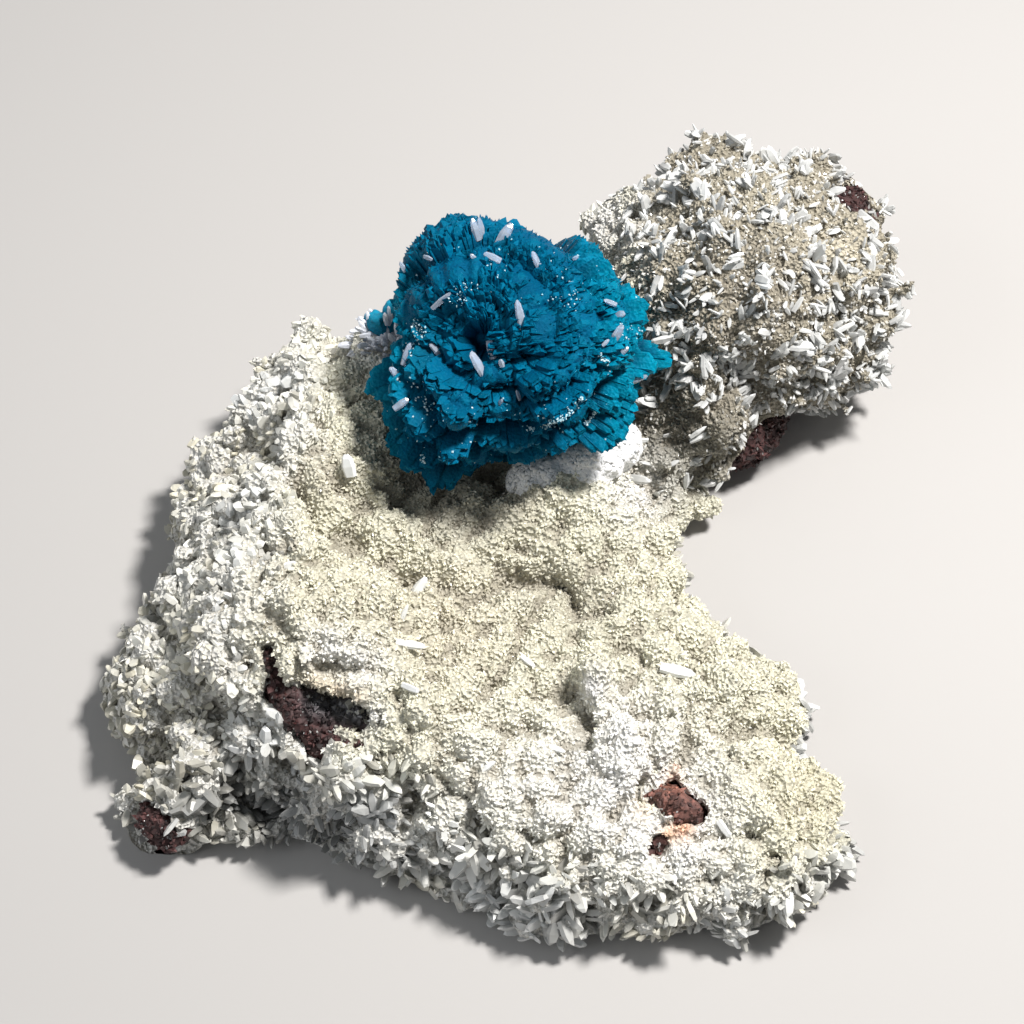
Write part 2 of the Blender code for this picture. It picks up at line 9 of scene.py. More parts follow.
import bpy
import numpy as np
from mathutils import Euler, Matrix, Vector
from mathutils.bvhtree import BVHTree


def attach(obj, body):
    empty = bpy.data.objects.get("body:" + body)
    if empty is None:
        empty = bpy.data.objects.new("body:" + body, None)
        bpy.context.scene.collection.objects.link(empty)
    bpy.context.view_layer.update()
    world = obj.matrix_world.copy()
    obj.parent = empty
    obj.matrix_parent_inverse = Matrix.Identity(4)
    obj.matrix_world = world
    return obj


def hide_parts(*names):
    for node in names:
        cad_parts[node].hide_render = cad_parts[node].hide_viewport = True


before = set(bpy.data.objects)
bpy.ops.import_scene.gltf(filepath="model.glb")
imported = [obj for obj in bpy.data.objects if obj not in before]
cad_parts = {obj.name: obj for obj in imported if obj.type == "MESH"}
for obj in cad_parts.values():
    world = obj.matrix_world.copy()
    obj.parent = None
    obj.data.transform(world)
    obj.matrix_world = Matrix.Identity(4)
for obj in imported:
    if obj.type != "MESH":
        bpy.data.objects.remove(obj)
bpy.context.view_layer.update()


# The display view, the floor and the light
# The specimen lies on a pale floor and is looked at from the front and well above.
# One soft lamp stands behind it to the right, so the face is lit and the front flank is in shade.
MM = 0.001
VIEW_TARGET = np.array([-0.6, -1.2, 15.0])
VIEW_DISTANCE = 278.6
VIEW_TILT = math.radians(55)
VIEW_RIGHT = np.array([1.0, 0.0, 0.0])
VIEW_UP = np.array([0.0, math.sin(VIEW_TILT), math.cos(VIEW_TILT)])
VIEW_AWAY = np.array([0.0, math.cos(VIEW_TILT), -math.sin(VIEW_TILT)])
VIEW_EYE = VIEW_TARGET - VIEW_AWAY * VIEW_DISTANCE
LENS = 85
NEAREST_SEEN = 10

FLOOR_HALF = 3000
FLOOR_DROP = 0.05
FLOOR_COLOUR = (0.46, 0.45, 0.44, 1)

# Each lamp: which way it stands from the target, how far off, its size, its watts, its colour
LAMPS = {
    "key_lamp": ((0.42, 0.10, 0.90), 420, 60, 3.15, (1.0, 0.97, 0.94)),
    "fill_lamp": ((-0.8, -0.3, 0.6), 600, 420, 0.85, (0.94, 0.97, 1.0)),
}
SKY_COLOUR = (0.9, 0.95, 1.0, 1)
SKY_STRENGTH = 0.16


def linked(name, data):
    thing = bpy.data.objects.new(name, data)
    bpy.context.scene.collection.objects.link(thing)
    return thing


def mesh_of(points, faces):
    """A mesh from points in millimetres and faces that all have the same number of corners."""
    faces = np.asarray(faces)
    mesh = bpy.data.meshes.new("shape")
    mesh.vertices.add(len(points))
    mesh.vertices.foreach_set("co", (np.asarray(points) * MM).ravel())
    mesh.loops.add(faces.size)
    mesh.loops.foreach_set("vertex_index", faces.ravel())
    mesh.polygons.add(len(faces))
    mesh.polygons.foreach_set("loop_start", np.arange(0, faces.size, faces.shape[1]))
    mesh.update(calc_edges=True)
    return mesh


def new_material(name, **settings):
    """A material whose shader takes the given values on its own sockets."""
    material = bpy.data.materials.new(name)
    material.use_nodes = True
    shader = material.node_tree.nodes["Principled BSDF"]
    for socket, value in settings.items():
        shader.inputs[socket.replace("_", " ")].default_value = value
    return material, material.node_tree, shader


camera_data = bpy.data.cameras.new("display_camera")
camera_data.lens = LENS
camera_data.clip_start = NEAREST_SEEN * MM
camera = linked("display_camera", camera_data)
camera.location = Vector(VIEW_EYE) * MM
camera.rotation_euler = (math.radians(90) - VIEW_TILT, 0, 0)
bpy.context.scene.camera = camera
bpy.context.scene.view_settings.view_transform = "Standard"

corners = [(x * FLOOR_HALF, y * FLOOR_HALF, -FLOOR_DROP) for x, y in ((-1, -1), (1, -1), (1, 1), (-1, 1))]
floor = linked("floor", mesh_of(corners, [(0, 1, 2, 3)]))
floor_paint, _, _ = new_material("pale_floor", Base_Color=FLOOR_COLOUR, Roughness=0.9)
floor.data.materials.append(floor_paint)

for name, (stands, distance, size, power, colour) in LAMPS.items():
    lamp_data = bpy.data.lights.new(name, "AREA")
    lamp_data.size = size * MM
    lamp_data.energy = power
    lamp_data.color = colour
    lamp = linked(name, lamp_data)
    direction = Vector(stands).normalized()
    lamp.location = (Vector(VIEW_TARGET) + direction * distance) * MM
    lamp.rotation_euler = direction.to_track_quat("Z", "Y").to_euler()

world = bpy.data.worlds.new("studio")
bpy.context.scene.world = world
world.use_nodes = True
sky = world.node_tree.nodes["Background"].inputs
sky["Color"].default_value = SKY_COLOUR
sky["Strength"].default_value = SKY_STRENGTH


# The basalt
# Dark red-brown vesicular lava that everything grew on, broken to a flat face underneath.
# It shows through the crust in five patches, and its broken surface is coarse and grainy.
BASALT_VOXEL = 0.8
BASALT_ROUNDS = 2
BASALT_RELIEF = [(2.6, 0.5), (1.2, 0.3)]
BASALT_FLAT = 0.6

# Where the rock shows: paths in the display view, right and up of its middle, and their half width
BARE_PATHS = [
    (((-28.3, -16.2), (-27.6, -18.6), (-27.2, -21.0), (-25.8, -23.2)), 0.9),
    (((-27.2, -20.6), (-25.9, -22.8)), 1.2),
    (((-25.4, -24.0), (-22.6, -25.9), (-19.6, -26.4), (-17.3, -26.5)), 0.75),
    (((-24.2, -26.0), (-23.0, -28.0)), 0.6),
    (((-25.4, -21.6), (-21.4, -22.8), (-18.2, -23.2)), 1.9),
    (((15.8, -31.9), (17.6, -33.2), (20.2, -34.5)), 1.35),
    (((18.2, -31.4), (18.8, -34.0)), 1.2),
    (((16.4, -38.8), (17.1, -38.2)), 0.9),
    (((38.8, 36.4), (41.0, 34.4), (42.2, 31.4)), 1.5),
    (((40.0, 36.6), (41.6, 36.8)), 1.0),
    (((30.2, 9.4), (28.2, 7.2), (26.6, 5.0)), 2.2),
    (((-42.8, -35.6), (-40.0, -37.4), (-38.2, -38.2)), 1.9),
]
BARE_RISE = 0.5
BARE_RAGGED = [(2.4, 0.5), (0.9, 0.6)]
BARE_EDGE = (-0.3, 0.5)
BARE_SHOWN = (-0.1, 0.3)
BASALT_DARK = (0.085, 0.032, 0.030)
BASALT_PINK = (0.27, 0.125, 0.10)
BASALT_SHADED_GREY = (0.12, 0.12, 0.13)

# Where the rock has another colour than maroon, or is greyed with painted shade in the broken hollow: a path
# in the display view, its radius, the colour
BASALT_TINTS_AND_SHADE = [
    (((18.2, -33.2),), 5.0, BASALT_PINK),
    (((18.4, -30.6),), 1.4, (0.62, 0.24, 0.14)),
    # Painted shade in the next row: the broken hollow under its rim is greyed
    (((-22.6, -21.8), (-20.6, -22.4), (-17.2, -22.9)), 1.9, BASALT_SHADED_GREY),
    (((-19.6, -22.6), (-18.2, -23.6)), 0.8, (0.34, 0.34, 0.35)),
]

# What scrambles the numbers of a lattice cell into its fixed value, and moves the lattice for a seed
CELL_PRIMES = (73856093, 19349663, 83492791)
MIX_PRIMES = (2654435761, 2246822519)
KEY_BITS = 0xFFFFFFFF
VALUE_BITS = 0xFFFF
SEED_SHIFT = 31.7

# Points closer than this are one point
WELD_GAP = 0.001


def cell_value(cells):
    """A fixed random value from -1 to 1 for each cell of a lattice."""
    x, y, z = (cells[..., axis] * prime for axis, prime in enumerate(CELL_PRIMES))
    key = ((x ^ y ^ z) * MIX_PRIMES[0]) & KEY_BITS
    key = ((key ^ (key >> 15)) * MIX_PRIMES[1]) & KEY_BITS
    return ((key ^ (key >> 13)) & VALUE_BITS) / (VALUE_BITS / 2) - 1


def eased(share):
    return share * share * (3 - 2 * share)


def ramp(values, low, high):
    return eased(np.clip((values - low) / (high - low), 0, 1))


def lattice_noise(points, wavelength, seed=0):
    """Smooth noise from -1 to 1 at each point."""
    place = points / wavelength + SEED_SHIFT * seed
    cell = np.floor(place).astype(np.int64)
    part = eased(place - cell)
    total = np.zeros(len(points))
    for corner in itertools.product((0, 1), repeat=3):
        share = np.where(np.array(corner) == 1, part, 1 - part).prod(axis=1)
        total += share * cell_value(cell + corner)
    return total


def layered_noise(points, sizes, seed=0):
    """Sum of noises, each given as its wavelength and its height."""
    return sum(height * lattice_noise(points, wave, seed + step) for step, (wave, height) in enumerate(sizes))


def unit(vectors):
    return vectors / (np.linalg.norm(vectors, axis=-1, keepdims=True) + 1e-12)


def skin_of(mesh, voxel, rounds):
    """A fine even skin over closed shapes, smoothed in some rounds."""
    carrier = linked("carrier", mesh)
    carrier.modifiers.new("weld", "WELD").merge_threshold = WELD_GAP * MM
    remesh = carrier.modifiers.new("remesh", "REMESH")
    remesh.mode = "VOXEL"
    remesh.voxel_size = voxel * MM
    smooth = carrier.modifiers.new("smooth", "SMOOTH")
    smooth.factor = 0.5
    smooth.iterations = rounds
    graph = bpy.context.evaluated_depsgraph_get()
    skin = bpy.data.meshes.new_from_object(carrier.evaluated_get(graph))
    bpy.data.objects.remove(carrier)
    return skin


def copy_of(node):
    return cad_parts[node].data.copy()


def gathered(items, field, width, kind=float):
    """One row of numbers for each of a mesh's vertices, edges or triangles."""
    values = np.empty(len(items) * width, kind)
    items.foreach_get(field, values)
    return values.reshape(-1, width)


def points_and_normals(mesh):
    """The vertices in millimetres, and the normal at each."""
    return gathered(mesh.vertices, "co", 3) / MM, gathered(mesh.vertices, "normal", 3)


def move_points(mesh, points):
    mesh.vertices.foreach_set("co", (points * MM).ravel())
    mesh.update()


def triangles_of(mesh):
    mesh.calc_loop_triangles()
    return gathered(mesh.loop_triangles, "vertices", 3, np.int64)


def tree_of(mesh):
    points, _ = points_and_normals(mesh)
    return BVHTree.FromPolygons(points.tolist(), triangles_of(mesh).tolist())


def finish_piece(name, mesh, material, nodes=(), smooth=False):
    """The named piece, riding on the specimen, in place of the CAD nodes named."""
    piece = linked(name, mesh)
    mesh.materials.clear()
    mesh.materials.append(material)
    mesh.polygons.foreach_set("use_smooth", [smooth] * len(mesh.polygons))
    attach(piece, "root")
    if nodes:
        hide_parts(*nodes)


def paint(mesh, name, values):
    """Stores values or colours for the material to read, one for each vertex or each like crystal."""
    values = np.repeat(np.asarray(values, float), len(mesh.vertices) // len(values), axis=0)
    if values.ndim == 1:
        mesh.attributes.new(name, "FLOAT", "POINT").data.foreach_set("value", values)
        return
    colours = np.column_stack([values, np.ones(len(values))])
    mesh.attributes.new(name, "FLOAT_COLOR", "POINT").data.foreach_set("color", colours.ravel())


def feed(tree, socket, value):
    """Gives a socket a link or a plain value."""
    if isinstance(value, bpy.types.NodeSocket):
        tree.links.new(value, socket)
    else:
        socket.default_value = value


def add_node(tree, kind, **inputs):
    """A shader node with the given input values or links."""
    node = tree.nodes.new(kind)
    for name, value in inputs.items():
        feed(tree, node.inputs[name.replace("_", " ")], value)
    return node


def computed(tree, operation, *values):
    """What a Math node makes of some values or links."""
    node = tree.nodes.new("ShaderNodeMath")
    node.operation = operation
    for socket, value in zip(node.inputs, values):
        feed(tree, socket, value)
    return node.outputs[0]


def read_attribute(tree, name, output):
    node = tree.nodes.new("ShaderNodeAttribute")
    node.attribute_name = name
    return node.outputs[output]


def mixed(tree, factor, first, second, blend="MIX"):
    """A colour between two colours."""
    node = tree.nodes.new("ShaderNodeMix")
    node.data_type = "RGBA"
    node.blend_type = blend
    for number, value in ((0, factor), (6, first), (7, second)):
        feed(tree, node.inputs[number], value)
    return node.outputs[2]


def multiplied(tree, first, second):
    return mixed(tree, 1.0, first, second, "MULTIPLY")


def in_display_view(points):
    """Where each point appears in the display view: right and up of the target, at its distance."""
    away = points - VIEW_EYE
    depth = away @ VIEW_AWAY
    return np.stack([away @ VIEW_RIGHT, away @ VIEW_UP], axis=1) / depth[:, None] * VIEW_DISTANCE


def shown_in_view(normals, low, high):
    """1 where a surface faces the display view, falling to 0 where it turns away."""
    return ramp(-(normals @ VIEW_AWAY), low, high)


def distance_to_path(places, path):
    """How far each place in the display view is from a broken line."""
    nearest = np.linalg.norm(places - np.array(path[0]), axis=1)
    for start, end in zip(path, path[1:]):
        start = np.array(start, float)
        run = np.array(end, float) - start
        share = np.clip(((places - start) @ run) / (run @ run), 0, 1)
        nearest = np.minimum(nearest, np.linalg.norm(places - start - share[:, None] * run, axis=1))
    return nearest


def near_path(places, path, width):
    """1 on a broken line in the display view, fading away over its width."""
    return np.exp(-(distance_to_path(places, path) / width) ** 2)


def tinted(colour, tint, share):
    """Colours taken a share of the way to another colour, each by its own share."""
    return colour + (np.asarray(tint) - colour) * share[:, None]


def bareness(points, normals):
    """1 where the rock shows, falling to 0 at the edge of each bare place and beyond."""
    view = in_display_view(points)
    ragged = layered_noise(points, BARE_RAGGED, seed=27)
    bare = np.zeros(len(points))
    for path, width in BARE_PATHS:
        bare = np.maximum(bare, ramp(width + ragged - distance_to_path(view, path), *BARE_EDGE))
    return bare * shown_in_view(normals, *BARE_SHOWN)


def new_group(name, inputs, outputs):
    """An empty shader node group, with float inputs and float outputs."""
    tree = bpy.data.node_groups.new(name, "ShaderNodeTree")
    for names, way in ((inputs, "INPUT"), (outputs, "OUTPUT")):
        for socket in names:
            tree.interface.new_socket(name=socket, in_out=way, socket_type="NodeSocketFloat")
    return tree, tree.nodes.new("NodeGroupInput").outputs, tree.nodes.new("NodeGroupOutput").inputs


def placed_group(tree, group, **inputs):
    node = tree.nodes.new("ShaderNodeGroup")
    node.node_tree = group
    for name, value in inputs.items():
        node.inputs[name.replace("_", " ")].default_value = value
    return node.outputs


def make_grain_group():
    """Uneven grain: a value round 0.5 that wanders over the surface, and a fine height."""
    tree, given, result = new_group("mineral_grain", ["Scale", "Contrast"], ["Value", "Height"])
    where = tree.nodes.new("ShaderNodeTexCoord").outputs["Object"]
    scale = given["Scale"]
    cloud = add_node(tree, "ShaderNodeTexNoise", Vector=where, Scale=scale, Detail=5.0, Roughness=0.7)
    centred = computed(tree, "SUBTRACT", cloud.outputs["Fac"], 0.5)
    feed(tree, result["Value"], computed(tree, "MULTIPLY_ADD", centred, given["Contrast"], 0.5))
    cells = add_node(tree, "ShaderNodeTexVoronoi", Vector=where, Scale=scale)
    feed(tree, result["Height"], cells.outputs["Distance"])
    return tree


def make_glint_group():
    """Small flat facets that flash: a mask that is 1 on a share of tiny cells."""
    tree, given, result = new_group("facet_glints", ["Scale", "Share"], ["Mask"])
    where = tree.nodes.new("ShaderNodeTexCoord").outputs["Object"]
    cells = add_node(tree, "ShaderNodeTexVoronoi", Vector=where, Scale=given["Scale"])
    channel = add_node(tree, "ShaderNodeSeparateColor", Color=cells.outputs["Color"])
    feed(tree, result["Mask"], computed(tree, "LESS_THAN", channel.outputs[0], given["Share"]))
    return tree


GRAIN = make_grain_group()
GLINTS = make_glint_group()


def add_bump(tree, shader, height, strength, distance):
    bump = add_node(tree, "ShaderNodeBump", Height=height, Strength=strength, Distance=distance * MM)
    feed(tree, shader.inputs["Normal"], bump.outputs["Normal"])


def map_roughness(tree, shader, mask, dull, glossy):
    """Roughness that runs from dull where the mask is 0 to glossy where it is 1."""
    node = add_node(tree, "ShaderNodeMapRange", Value=mask, To_Min=dull, To_Max=glossy)
    feed(tree, shader.inputs["Roughness"], node.outputs["Result"])


basalt_stone, tree, shader = new_material("basalt", Specular_IOR_Level=0.6)
tint = read_attribute(tree, "tint", "Color")
grain = placed_group(tree, GRAIN, Scale=900.0, Contrast=2.6)
speckle = mixed(tree, grain["Value"], (0.10, 0.10, 0.12, 1), (1.0, 1.0, 1.0, 1))
feed(tree, shader.inputs["Base Color"], multiplied(tree, tint, speckle))
glint = placed_group(tree, GLINTS, Scale=2600.0, Share=0.12)
map_roughness(tree, shader, glint["Mask"], dull=0.75, glossy=0.15)
add_bump(tree, shader, grain["Height"], strength=0.8, distance=0.5)


def basalt_colour_and_shade(points):
    """Dark maroon, another colour in each place that has its own, and painted shade in the broken hollow."""
    view = in_display_view(points)
    colour = np.tile(BASALT_DARK, (len(points), 1))
    for path, radius, tint in BASALT_TINTS_AND_SHADE:
        colour = tinted(colour, tint, near_path(view, path, radius))
    return colour


basalt = skin_of(copy_of("basalt_matrix"), BASALT_VOXEL, BASALT_ROUNDS)
places, normals = points_and_normals(basalt)
above = np.clip((places[:, 2] - BASALT_FLAT) / BASALT_FLAT, 0, 1)
bare = bareness(places, normals)
places += normals * (above * (layered_noise(places, BASALT_RELIEF) + BARE_RISE * bare))[:, None]
places[:, 2] = np.maximum(places[:, 2], 0.0)
move_points(basalt, places)
paint(basalt, "tint", basalt_colour_and_shade(places))
finish_piece("basalt", basalt, basalt_stone, ["basalt_matrix"])
basalt_tree = tree_of(basalt)


# The stilbite crust
# A white to cream crust of tiny stilbite crystals that coats the basalt all over.
# It grew as overlapping lumps, so its face is botryoidal, with creases between the lumps that painted shade
# darkens.
CRUST_VOXEL = 0.6
CRUST_ROUNDS = 10
CRUST_WANDER = [(6.0, 0.7), (2.4, 0.3)]
CRUST_EDGE = (0.8, 1.6)
CRUST_FOOT = (0.8, 2.0)
CRUST_SUNK = 2.4

# The lumps: their sizes and heights, what counts as level, and how their cells are turned,
# warped and shifted
CRUST_LUMPS = [(4.6, 2.0), (2.4, 1.2), (1.2, 0.5)]
LUMP_LEVEL = 0.72
LUMP_TURN = np.array(Euler((0.5, 0.7, 0.4)).to_matrix())
LUMP_WARP_SIZE = 1.6
LUMP_WARP = 0.35
LUMP_SHIFT = 13.3
LUMP_PLAY = 0.42
LUMP_CELLS = [(0, 0, 7), (29, 0, 7), (58, 0, 7)]
FLANK_LUMPS = (7.0, 3.0)
LUMPS_OFF_BLOCK = 0.8
RELIEF_SHOWN = (0.0, 0.4)
TINT_SHOWN = (-0.2, 0.2)

# The hollows between the lumps: how they are found, their colour, a brown-grey tone that is partly painted
# shade, and how far painted shade darkens the blades that stand in them
HOLLOW_ROUNDS = 14
HOLLOW_RANGE = (0.04, 0.42)
HOLLOW_TINT_AND_SHADE = (0.36, 0.33, 0.27)
HOLLOW_SHARE = 0.7
HOLLOW_SHADE = 0.5

# The zones run into each other over these ranges: inside the ridge, and towards back and right
ZONE_ROUNDS = 30
ZONE_WANDER = [(7.0, 2.2), (2.5, 1.4)]
FACE_EDGE = (-4.0, 5.0)
FACE_SHOWN = (-0.3, 0.0)
BLOCK_BACK = (6, 12)
BLOCK_RIGHT = (11, 17)

# Grains that close the raw crust: their field in the display view, and what stays open in it
FILL_STEP = 0.9
FILL_SIZE = 2.6
FILL_STRETCH = [1, 1.8, 1.8]
FILL_RIGHT = (-45, 46)
FILL_UP = (-42, 43)
FILL_LOWEST_UP = -41
FILL_LOWEST_ROCK = 3
FILL_BARE = 0.2
OPEN_BAND = (20, 33)

CREAM = (0.78, 0.765, 0.63)
SNOW = (0.92, 0.92, 0.90)
WHITE = (0.80, 0.80, 0.77)
DRUSE_BROWN = (0.38, 0.35, 0.28)

# The ridge between the face and the flanks: right and up in the display view from the target
RIDGE = [
    (-23.3, 19.2), (-22.3, 12.9), (-25.6, 3.7), (-28.8, -5.5), (-29.3, -14.7), (-26.0, -23.0),
    (-20.5, -28.8), (-12.9, -31.2), (-3.7, -38.4), (5.5, -42.4), (14.7, -43.5), (28.6, -44.1),
    (38.4, -38.9),
]
FAR_CORNERS = [(70.0, -38.9), (70.0, 70.0), (-23.3, 70.0)]

# Lumps and hollows of the face: place in the display view, radius, height
FACE_RELIEF = [
    ((9.4, -20.2), 1.9, 2.8),
    ((12.4, -25.0), 1.8, 1.8),
    ((12.8, -27.2), 1.8, 1.6),
    ((12.0, -30.0), 2.2, 0.9),
    ((2.0, 0.2), 2.4, 1.8),
    ((6.2, 0.4), 2.6, 2.4),
    ((10.2, 1.6), 2.2, 1.8),
    ((3.2, -7.8), 2.6, -1.7),
    ((0.4, -7.0), 2.2, -1.2),
    ((9.0, -10.1), 2.4, -1.7),
    ((-18.7, 5.1), 1.2, 1.5),
    ((-15.0, -10.5), 4.2, 1.3),
    ((-20.0, 9.0), 3.5, 1.0),
    ((-8.5, -6.0), 3.0, 0.9),
    ((15.5, -9.0), 3.5, 0.9),
    ((24.0, -19.5), 3.6, 1.1),
    ((31.0, -21.0), 2.6, 0.9),
    ((36.5, -30.5), 3.4, 1.0),
    ((37.8, -38.0), 2.8, -1.4),
    ((-22.8, -18.8), 1.6, 0.9),
    ((-19.4, -19.4), 1.8, 1.1),
    ((40.0, 36.0), 3.0, 0.8),
    ((24.5, 27.5), 2.8, -1.3),
    ((36.5, 23.5), 3.0, -1.2),
    ((28.0, 13.5), 3.0, -1.0),
    ((20.5, 41.0), 2.4, 0.9),
]

# Creases and cracks of the face: the points that each runs through, its width and its depth
FACE_CREASES = [
    (((-30.2, 8.3), (-24.4, 3.9), (-20.2, -2.1), (-16.2, -5.5), (-11.5, -7.3)), 1.5, 2.2),
    (((-11.5, -7.3), (-10.6, -10.5), (-12.2, -13.5)), 1.0, 0.9),
    (((-19.2, -5.5), (-24.4, -10.1)), 0.5, 0.8),
    (((0.9, -15.3), (-2.5, -21.1)), 0.5, 0.8),
    (((1.6, -16.4), (3.4, -20.0)), 0.5, 0.5),
    (((8.2, -22.8), (8.6, -26.0), (8.8, -28.6)), 0.8, 1.3),
    (((20.5, -25.7), (28.6, -24.9), (33.2, -26.8)), 1.2, 1.6),
    (((-3.5, -12.5), (2.5, -12.0), (7.0, -14.0)), 1.1, 0.8),
    (((6.0, -36.5), (5.5, -41.0)), 0.9, 1.2),
    (((19.5, -16.0), (24.0, -14.5)), 1.0, 0.8),
]

# Tints of the crust, some of them painted shade: place in the display view, radius, strength, colour
CRUST_TINTS_AND_SHADES = [
    ((14.7, -33.2), 10.0, 0.95, SNOW),
    ((19.5, -37.0), 6.0, 0.9, SNOW),
    ((8.0, -31.0), 6.0, 0.7, SNOW),
    ((-1.4, -32.0), 8.0, 0.6, SNOW),
    ((12.6, -25.0), 4.0, 0.9, SNOW),
    ((9.3, -20.1), 2.0, 0.9, (0.72, 0.72, 0.73)),
    ((-24.0, -12.0), 9.0, 0.5, (0.72, 0.69, 0.56)),
    ((35.0, -32.0), 7.0, 0.5, (0.70, 0.66, 0.49)),
    ((-7.0, -12.0), 7.0, 0.4, (0.66, 0.59, 0.48)),
    ((3.5, -8.0), 4.0, 0.5, (0.44, 0.41, 0.34)),
    ((9.0, -10.5), 3.5, 0.5, (0.44, 0.41, 0.34)),
    ((-21.0, 4.0), 3.5, 0.5, (0.46, 0.42, 0.34)),
    ((40.0, -38.5), 3.5, 0.5, (0.50, 0.50, 0.38)),
    ((-22.4, -19.6), 1.3, 0.9, (0.66, 0.53, 0.34)),
    ((-19.8, -20.4), 1.3, 0.9, (0.62, 0.48, 0.31)),
    ((-17.4, -21.2), 1.0, 0.8, (0.64, 0.52, 0.36)),
    # Painted shade of the broken hollow under its rim, in the next two rows
    ((-21.6, -24.0), 2.0, 0.9, (0.20, 0.20, 0.215)),
    ((-17.6, -24.0), 1.8, 0.8, (0.34, 0.34, 0.35)),
    ((-16.0, -23.4), 1.5, 0.9, SNOW),
    ((-21.5, -16.0), 3.4, 0.8, SNOW),
    ((10.0, 33.0), 4.0, 0.9, (0.70, 0.70, 0.69)),
    ((-17.0, -17.5), 3.0, 0.8, SNOW),
    ((28.0, 27.0), 7.0, 0.5, (0.30, 0.27, 0.22)),
    ((27.0, 16.0), 6.0, 0.5, (0.28, 0.26, 0.22)),
    ((38.0, 29.5), 4.5, 0.7, (0.72, 0.67, 0.54)),
    ((30.0, 36.0), 4.0, 0.4, (0.66, 0.62, 0.50)),
    # Painted shade on the block's lower left, between the rosette and the block, in the next three rows
    ((20.5, 8.9), 5.5, 0.75, (0.20, 0.19, 0.16)),
    ((16.6, 9.0), 4.5, 0.8, (0.19, 0.18, 0.15)),
    ((17.4, 3.0), 3.4, 0.7, (0.24, 0.23, 0.19)),
    # Painted shadow of the rosette on the face below it, in the next four rows
    ((-11.8, 4.0), 3.6, 0.75, (0.22, 0.21, 0.17)),
    ((-7.6, 0.4), 3.4, 0.75, (0.20, 0.19, 0.16)),
    ((-2.6, 0.0), 3.0, 0.6, (0.26, 0.24, 0.20)),
    ((1.6, 1.4), 3.0, 0.5, (0.34, 0.31, 0.25)),
    ((14.7, 2.6), 4.0, 0.9, SNOW),
    ((-15.6, 19.0), 3.0, 0.8, SNOW),
    ((19.8, -36.4), 1.3, 0.95, (0.84, 0.46, 0.28)),
    ((18.0, -37.2), 1.0, 0.9, (0.86, 0.54, 0.34)),
    ((18.6, -30.6), 1.0, 0.8, (0.78, 0.48, 0.34)),
    ((15.2, -34.0), 1.6, 0.6, (0.80, 0.66, 0.48)),
]


def inside_ridge(places):
    """How far each place lies inside the ridge. It is negative on the flanks."""
    corners = RIDGE + FAR_CORNERS
    inside = np.zeros(len(places), bool)
    for (x0, y0), (x1, y1) in zip(corners, corners[1:] + corners[:1]):
        if y0 != y1:
            crossing = x0 + (places[:, 1] - y0) * (x1 - x0) / (y1 - y0)
            inside ^= ((y0 > places[:, 1]) != (y1 > places[:, 1])) & (places[:, 0] < crossing)
    return distance_to_path(places, RIDGE) * np.where(inside, 1, -1)


def zones(points, normals):
    """Shares of face and of upper block at each point. What is left over is flank."""
    wander = layered_noise(points, ZONE_WANDER, seed=5)
    face = ramp(inside_ridge(in_display_view(points)) + wander, *FACE_EDGE)
    face = face * shown_in_view(normals, *FACE_SHOWN)
    block = ramp(points[:, 1] + wander, *BLOCK_BACK) * ramp(points[:, 0] + wander, *BLOCK_RIGHT)
    return face * (1 - block), block


def drift(points, size, seed):
    """A vector at each point that wanders slowly, so that neighbours are alike."""
    return np.stack([lattice_noise(points, size, seed + axis) for axis in range(3)], axis=1)


def lump_noise(points, size, seed=0):
    """Round lumps packed together: 1 on top of each, falling to 0 in the creases between."""
    warp = drift(points, size * LUMP_WARP_SIZE, seed + 50)
    place = points @ LUMP_TURN / size + LUMP_WARP * warp + LUMP_SHIFT * seed
    cell = np.floor(place).astype(np.int64)
    nearest = np.ones(len(points))
    for step in itertools.product((-1, 0, 1), repeat=3):
        at = cell + step
        shift = np.stack([cell_value(at + offset) for offset in LUMP_CELLS], axis=1)
        nearest = np.minimum(nearest, ((place - at - 0.5 - LUMP_PLAY * shift) ** 2).sum(axis=1))
    return 1 - nearest


def crust_colour_and_shade(points, normals, face, block):
    """Cream on the plate's face, white on its flanks, brownish on the upper block, with painted shade in some
    places.
    """
    colour = tinted(tinted(np.array(WHITE), CREAM, face), DRUSE_BROWN, block)
    view = in_display_view(points)
    shown = shown_in_view(normals, *TINT_SHOWN)
    for place, radius, strength, tint in CRUST_TINTS_AND_SHADES:
        colour = tinted(colour, tint, strength * near_path(view, (place,), radius) * shown)
    return colour


def crust_relief(points, normals, face, block):
    """How far each point of the crust rises or falls along its normal."""
    rise = np.zeros(len(points))
    for step, (size, height) in enumerate(CRUST_LUMPS):
        rise += height * (lump_noise(points, size, seed=step) - LUMP_LEVEL)
    rise = rise * (1 + LUMPS_OFF_BLOCK * (1 - block)) + layered_noise(points, CRUST_WANDER, seed=21)
    size, height = FLANK_LUMPS
    rise += height * (1 - face) * (lump_noise(points, size, seed=4) - LUMP_LEVEL)
    view = in_display_view(points)
    shown = shown_in_view(normals, *RELIEF_SHOWN)
    for place, radius, height in FACE_RELIEF:
        rise += height * shown * near_path(view, (place,), radius)
    for path, width, depth in FACE_CREASES:
        rise -= depth * shown * near_path(view, path, width)
    return rise


def neighbour_mean(mesh, values, rounds):
    """Values at the vertices, each round averaged with those of the neighbours."""
    first, second = gathered(mesh.edges, "vertices", 2, np.int64).T
    count = np.bincount(np.concatenate([first, second]), minlength=len(values))[:, None] + 1
    for _ in range(rounds):
        total = values.copy()
        for axis in range(values.shape[1]):
            total[:, axis] += np.bincount(first, values[second, axis], len(values))
            total[:, axis] += np.bincount(second, values[first, axis], len(values))
        values = total / count
    return values


